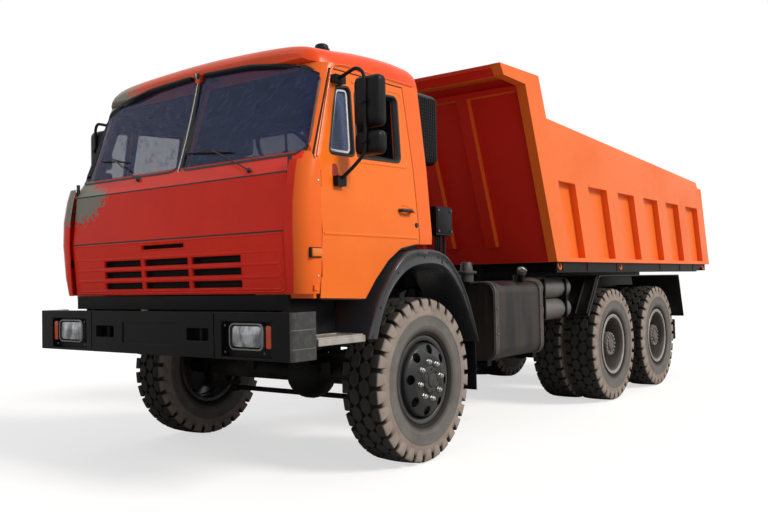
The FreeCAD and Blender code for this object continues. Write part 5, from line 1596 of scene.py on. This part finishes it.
handle_dark = coated("handle_dark", (0.012, 0.012, 0.013), (0.05, 0.047, 0.044), (0.5, 0.9), 9.0, 0.28, 0.55)
handle_line = [at(1.188, -0.249, 1.69), at(1.219, -0.24, 1.69), at(1.224, -0.19, 1.69),
               at(1.224, -0.145, 1.69), at(1.19, -0.128, 1.688)]
handle = pipe(eased(handle_line, 0.02, 4), 0.0115, handle_dark, 10)
lock_cap = stud([(0.017, -0.004), (0.017, 0.004), (0.014, 0.008), (0.004, 0.009)], 18)
caps = spread(lock_cap, [(on_side(-0.06, 1.6)[0], LEFT)], handle_dark)
left_parts = [window_seal, vent_seal, vent_frame, crease, window_bead, recess_rim, handle, caps]
for z in (1.26, 1.785):
    left_parts.append(pipe([at(1.205, -1.041, z), at(1.205, -1.041, z + 0.06)], 0.0095, door_orange, 12))
fitted("door_left_fittings", left_parts, "left_door", "cab_paint", degrees=40.0)
fitted("door_right_fittings", mirrored(*left_parts), "right_door", "cab_paint", degrees=40.0)
gap_path = []
for spot, out in facing_line(DOOR, 0.02, 3, 0.06):
    middle = spot + out * 0.004
    hit = on_side(spot.x - out.x * 0.012, spot.y - out.y * 0.012, door_skin)[0]
    gap_path.append((Vector((hit.x - 0.01, front_axle + middle.x, middle.y)), recess_out))
gap_seal = swept(gap_path, [(-0.0036, -0.014), (-0.0036, 0.002), (0.0036, 0.002), (0.0036, -0.014)],
                 rubber_seal, True)
fitted("door_seals", both_sides(gap_seal), "cab", "black_plastic", degrees=40.0)


# Cab trim: rain gutters, deflector screws, side repeaters, wipers and the mesh behind the grille.
# Gutters are painted with the cab, and the rest is black plastic or bright steel.

GUTTER = [(-1.018, 1.965), (-0.8, 2.556), (-0.7, 2.574), (0.105, 2.577)]


def gutter():
    path = []
    skin = skin_of("cab_shell", "cab_roof", "door_left")
    for p in filled(eased_flat(GUTTER, 0.05, 6, False), 0.05, False):
        hit = skin.ray_cast(at(OUTSIDE, p.x, p.y), INWARD)[0]
        if hit:
            path.append((hit, Vector((1, 0, 0.1)).normalized()))
    return swept(path, [(-0.008, -0.004), (-0.007, 0.008), (-0.002, 0.01), (0.003, 0.006), (0.007, 0.004),
                        (0.01, -0.004)], cab_orange)


trim = both_sides(gutter())
repeater_amber = coated("repeater_amber", (0.8, 0.2, 0.02), (0.55, 0.13, 0.03), (0.5, 0.9), 14.0, 0.12, 0.3)
deflector_skin = skin_of("front_surround")


def on_deflector(y, z):
    hit, normal = deflector_skin.ray_cast(at(OUTSIDE, y, z), INWARD)[:2]
    return (hit, normal) if hit else (at(1.21, y, z), LEFT)


repeater_x = on_deflector(-1.105, 1.4)[0].x
trim += both_sides(
    slab(repeater_x - 0.012, repeater_x + 0.006, -1.152, -1.058, 1.37, 1.43, 0.004, moulding),
    slab(repeater_x, repeater_x + 0.018, -1.146, -1.064, 1.376, 1.424, 0.007, repeater_amber, 3))
screws = [on_deflector(-1.075, 1.815), on_deflector(-1.075, 1.265)]
trim += both_sides(spread(round_screw, screws, nut_steel))
mesh_black = coated("mesh_black", (0.003, 0.003, 0.003), (0.012, 0.011, 0.01), (0.5, 0.9), 6.0, 0.6, 0.9,
                    specular=0.1)
grille_mesh = [slab(-0.735, 0.735, -1.146, -1.138, 1.175, 1.5, 0.0, mesh_black)]
for z in (1.222, 1.238, 1.299, 1.315, 1.374, 1.39):
    grille_mesh.append(slab(-0.7, 0.7, -1.156, -1.147, z - 0.0015, z + 0.0015, 0.0, mesh_black))
fitted("grille_mesh", grille_mesh, "cab", "black_plastic")


def front_y(z):
    # The flat middle of the cab's front, from its stacked outlines
    keys = [(1.1, -1.163), (1.533, -1.196), (FLAP_TOP, -1.163), (SILL_Z, -1.085)]
    for (za, ya), (zb, yb) in zip(keys, keys[1:]):
        if z <= zb:
            break
    return ya + (yb - ya) * (z - za) / (zb - za)


def front_ring(x0, x1, z0, z1, radius, profile):
    # A bead pressed into the cab's front round a rectangle
    path = [(at(p.x, front_y(p.z), p.z), Vector((0, -1, 0.05)).normalized())
            for p in rounded(x0, x1, z0, z1, radius)]
    return swept(path, profile, front_shaded_paint, True)


row_bead = [(-0.01, -0.004), (-0.005, 0.003), (0.0, 0.005), (0.005, 0.003), (0.01, -0.004)]
slot_bead = [(-0.007, -0.006), (-0.005, 0.001), (0.0, 0.004), (0.005, 0.001), (0.007, -0.004)]
slats = []
for z in (1.382, 1.307, 1.23):
    slats.append(front_ring(-1.01, 1.01, z - 0.0355, z + 0.0355, 0.026, row_bead))
    for x0, x1 in ((-0.69, -0.272), (-0.248, 0.205), (0.228, 0.686)):
        slats.append(front_ring(x0, x1, z - 0.0275, z + 0.0275, 0.012, slot_bead))
slats.append(front_ring(-0.266, 0.174, 1.462, 1.504, 0.01, slot_bead))
slats.append(front_ring(-1.03, 1.03, 1.18, 1.518, 0.03, row_bead))
fitted("grille_beads", slats, "cab", "cab_paint", degrees=50.0)
seams = []
for z in (FLAP_TOP, GRILLE_TOP):
    y = front_y(z)
    seams.append(slab(-1.046, 1.046, y - 0.0005, y + 0.014, z - 0.0045, z + 0.0045, 0.0, rubber_seal))
# The upright black strips fill the slots beside the deflectors: painted shade in the slots. The level strips
# before them are the panel joints.
seams += both_sides(slab(1.0445, 1.0665, -1.15, -1.135, 1.18, 1.975, 0.0, rubber_seal))
fitted("front_seams", seams, "cab", "black_plastic")
fitted("cab_trim", trim, "cab", "cab_paint", degrees=50.0)


def on_screen(x, z, lift):
    return at(x, pane_y(x, z) - lift, z + lift * 0.3)


def wiper(pivot, joint, ends):
    # An arm from its spindle to a joint, and a blade between two ends
    spindle = stud([(0.016, -0.012), (0.016, 0.014), (0.011, 0.02), (0.004, 0.022)], 16)
    parts = [spread(spindle, [(pivot, Vector((0, -1, 0.4)).normalized())], rubber_seal)]
    middle = (pivot * 0.55 + joint * 0.45) + Vector((0, -0.022, 0.008))
    arm = eased([pivot + Vector((0, -0.018, 0.006)), middle, joint], 0.12, 5)
    span = [ends[0].lerp(ends[1], t) for t in (0.0, 0.25, 0.5, 0.75, 1.0)]
    down = Vector((0, 0.012, -0.003))
    yoke = [ends[0].lerp(ends[1], 0.22), joint + Vector((0, -0.006, 0)), ends[0].lerp(ends[1], 0.78)]
    rubber = [end + down for end in ends]
    for line, radius, sides in ((arm, 0.0055, 8), (span, 0.0045, 8), (rubber, 0.0038, 6), (yoke, 0.004, 6)):
        parts.append(pipe(line, radius, rubber_seal, sides))
    return parts


right_wiper = wiper(at(-0.395, -1.104, 1.958), on_screen(-0.772, 2.14, 0.026),
                    (on_screen(-0.95, 2.152, 0.012), on_screen(-0.6, 2.106, 0.012)))
left_wiper = wiper(at(0.725, -1.139, 1.909), on_screen(0.304, 2.085, 0.026),
                   (on_screen(0.034, 2.102, 0.012), on_screen(0.481, 2.058, 0.012)))
fitted("wipers", right_wiper + left_wiper, "cab", "black_plastic", degrees=50.0)


# Mirrors: two heads a side on a bent tube arm, clamped to the door's front edge and frame.
# Heads are black plastic shells with glass facing the driver, and the tube is black.

mirror_glass, tree, links, shader = material("mirror_glass")
given(shader, {"Base Color": (0.75, 0.77, 0.79, 1), "Metallic": 1.0, "Roughness": 0.06})
arm_line = [at(1.198, -0.86, 1.838), at(1.285, -0.85, 1.9), at(1.345, -0.8, 1.99),
            at(1.345, -0.8, 2.47), at(1.3, -0.812, 2.508), at(1.14, -0.79, 2.468)]
mirror_parts = [pipe(eased(arm_line, 0.045, 6), 0.011, moulding, 12)]


def mirror_head(x0, x1, y0, y1, z0, z1, radius):
    # A shell that bulges to the front, inside the head's block
    outline = rounded(x0, x1, z0, z1, radius, 6)
    cx, cz = (x0 + x1) / 2, (z0 + z1) / 2
    work = bmesh.new()
    rows = []
    for share, depth in ((0.9, 0.94), (0.985, 1.0), (1.0, 0.9), (1.0, 0.55), (0.97, 0.28), (0.88, 0.1),
                         (0.72, 0.02), (0.45, 0.0)):
        y = y0 + (y1 - y0) * depth
        rows.append([work.verts.new(at(cx + (p.x - cx) * share, y, cz + (p.z - cz) * share))
                     for p in outline])
    capped(work, rows)
    return meshed("head", work, moulding)


for z0, z1 in ((2.15, 2.462), (1.985, 2.125)):
    mirror_parts.append(mirror_head(1.246, 1.4425, -0.791, -0.716, z0, z1, 0.04))
    mirror_parts.append(slab(1.259, 1.43, -0.7215, -0.7172, z0 + 0.013, z1 - 0.013, 0.002, mirror_glass))
mirror_parts.append(cleaned("mirror_left", moulding, lambda spot: spot.x > 1.22 or 1.87 < spot.z < 2.43))
clamps = [(at(1.345, -0.811, z), FORWARD) for z in (2.06, 2.3)]
mirror_parts.append(spread(stud([(0.018, -0.012), (0.018, 0.008), (0.014, 0.012)], 6), clamps, moulding))
fitted("mirror_left_form", mirror_parts, "left_door", "black_plastic", "mirror_left", degrees=40.0)
fitted("mirror_right_form", mirrored(*mirror_parts), "right_door", "black_plastic", "mirror_right",
       degrees=40.0)


# Seats: sprung frames under cushions and backs in dark cloth, with separate head rests.
# The dashboard is moulded, with the steering wheel on a raked column.

seat_cloth = coated("seat_cloth", (0.05, 0.05, 0.055), (0.085, 0.08, 0.075), (0.4, 0.8), 9.0, 0.85, 0.95,
                    grain=0.5)


def cushion(corners, crown, finish):
    # A closed pad between eight corners, crowned on its faces and pulled in at its corners
    work = bmesh.new()
    verts = [work.verts.new(at(*c)) for c in corners]
    for loop in ((0, 1, 2, 3), (7, 6, 5, 4), (0, 4, 5, 1), (1, 5, 6, 2), (2, 6, 7, 3), (3, 7, 4, 0)):
        work.faces.new([verts[i] for i in loop])
    bmesh.ops.subdivide_edges(work, edges=work.edges[:], cuts=5, use_grid_fill=True)
    centre_spot = sum((v.co for v in work.verts), Vector()) / len(work.verts)
    pad = place("cushion", meshed("cushion", work))
    soft = pad.modifiers.new("soft", "SUBSURF")
    soft.levels = 2
    soft.render_levels = 2
    made = made_plain(pad).data
    bpy.data.objects.remove(pad)
    box_low = Vector([min(v.co[i] for v in made.vertices) for i in range(3)])
    box_high = Vector([max(v.co[i] for v in made.vertices) for i in range(3)])
    for v in made.vertices:
        share = [(v.co[i] - centre_spot[i]) / max(box_high[i] - box_low[i], 1e-6) * 2 for i in range(3)]
        fall = [max(1 - s * s, 0.0) for s in share]
        for i in range(3):
            others = [fall[k] for k in range(3) if k != i]
            v.co[i] += crown * share[i] * (others[0] * others[1] - 0.55)
    made.materials.append(finish)
    return made


def block_corners(x0, x1, lower, upper):
    # Two profiles of (y, z) pairs, from front to rear, below and above
    (y0, z0), (y1, z1) = lower
    (y2, z2), (y3, z3) = upper
    return [(x0, y0, z0), (x1, y0, z0), (x1, y1, z1), (x0, y1, z1), (x0, y2, z2), (x1, y2, z2), (x1, y3, z3),
            (x0, y3, z3)]


# Half width, crown and the (y, z) profiles below and above of the cushion, the back and the head rest
PADS = [(0.245, 0.022, ((-0.545, 1.68), (-0.075, 1.68)), ((-0.545, 1.86), (-0.075, 1.835))),
        (0.235, 0.018, ((-0.138, 1.86), (-0.045, 1.86)), ((-0.05, 2.235), (0.03, 2.235))),
        (0.14, 0.014, ((-0.048, 2.255), (0.028, 2.255)), ((-0.04, 2.41), (0.028, 2.41)))]
for name, x in (("left", 0.56), ("right", -0.56)):
    pads = [cushion(block_corners(x - half, x + half, lower, upper), crown, seat_cloth)
            for half, crown, lower, upper in PADS]
    seat = fitted("seat_cushions_" + name, pads, "cab", "seat_cloth", "seats", degrees=60.0)
    base = slab(x - 0.22, x + 0.22, -0.5, -0.09, 1.498, 1.69, 0.02, moulding)
    fitted("seat_base_" + name, [base], "cab", "black_plastic")
dressed("dashboard", moulding, 0.006)


# Dump body: welded steel plate with raked ribs, a canted extension and a visor over the cab, in orange.
# Its floor is scraped by loads and meets the sides in corner strips, and hooks hang under the side flanges.

bed_orange = coated("bed_orange", (0.92, 0.17, 0.022), (0.8, 0.135, 0.022), (0.45, 0.9), 1.1, 0.4, 0.6,
                    grain=0.03, specular=0.2)
worn_inside = coated("worn_inside", (0.55, 0.085, 0.03), (0.2, 0.11, 0.075), (0.38, 0.72), 2.2, 0.5, 0.8,
                     grain=0.2)
scraped = coated("scraped_floor", (0.22, 0.1, 0.065), (0.28, 0.23, 0.19), (0.35, 0.7), 2.5, 0.45, 0.8,
                 metal=0.3, grain=0.3)


def load_side(spot, way):
    side = 1 if spot.x > 0 else -1
    return abs(spot.x) < 1.1655 and way.x * side < -0.8 and spot.z < 2.5 and spot.y > 1.9


def load_front(spot, way):
    return way.y > 0.5 and spot.z < 2.4


def cab_facing(spot, way):
    return way.y < -0.4


def load_back(spot, way):
    return way.y < -0.5


dressed("bed_sides", bed_orange, 0.005, 2, second=[(worn_inside, load_side)])
# The front wall's faces turned to the cab are painted deep red: painted shade on the bed's orange.
bed_front_shaded_paint = coated("bed_front_shaded_paint", (0.74, 0.026, 0.014), (0.6, 0.03, 0.014), (0.45, 0.9), 1.1, 0.4, 0.6,
                 grain=0.03, specular=0.2)
dressed("bed_front", bed_orange, 0.005, 2, second=[(worn_inside, load_front), (bed_front_shaded_paint, cab_facing)])
dressed("bed_floor", scraped, 0.003)
corners = both_sides(slab(1.118, 1.1645, 2.118, 6.57, 1.382, 1.408, 0.0, scraped))
fitted("floor_corners", corners, "bed", "bed_plate")
dressed("tailgate", bed_orange, 0.005, 2, second=[(worn_inside, load_back)])
dressed("bed_frame", chassis_black, 0.004)
hook = [at(1.205, -0.03, 1.375), at(1.215, -0.03, 1.318), at(1.222, 0, 1.3), at(1.215, 0.03, 1.318),
        at(1.205, 0.03, 1.375)]
hooks = []
for y in (2.15, 3.62, 6.6):
    hooks += both_sides(pipe(eased([p + Vector((0, y, 0)) for p in hook], 0.02, 4), 0.008, bed_orange, 8))
    hooks += both_sides(slab(1.196, 1.2145, y - 0.045, y + 0.045, 1.335, 1.372, 0.003, bed_orange))
fitted("lashing_hooks", hooks, "bed", "black_steel")


# Lifting ram: a barrel on trunnions with three telescopic stages under the body.
# The barrel is painted black, and the stages are bright where they slide.

ram_black = coated("ram_black", (0.03, 0.029, 0.028), (0.12, 0.1, 0.08), (0.42, 0.8), 5.0, 0.35, 0.6,
                   metal=0.2)
ram_bright = coated("ram_bright", (0.55, 0.55, 0.55), (0.2, 0.18, 0.15), (0.55, 0.9), 9.0, 0.16, 0.4,
                    metal=0.9)
dressed("lift_barrel", ram_black)
for node in ("lift_stage_1", "lift_stage_2", "lift_stage_3"):
    dressed(node, ram_bright)
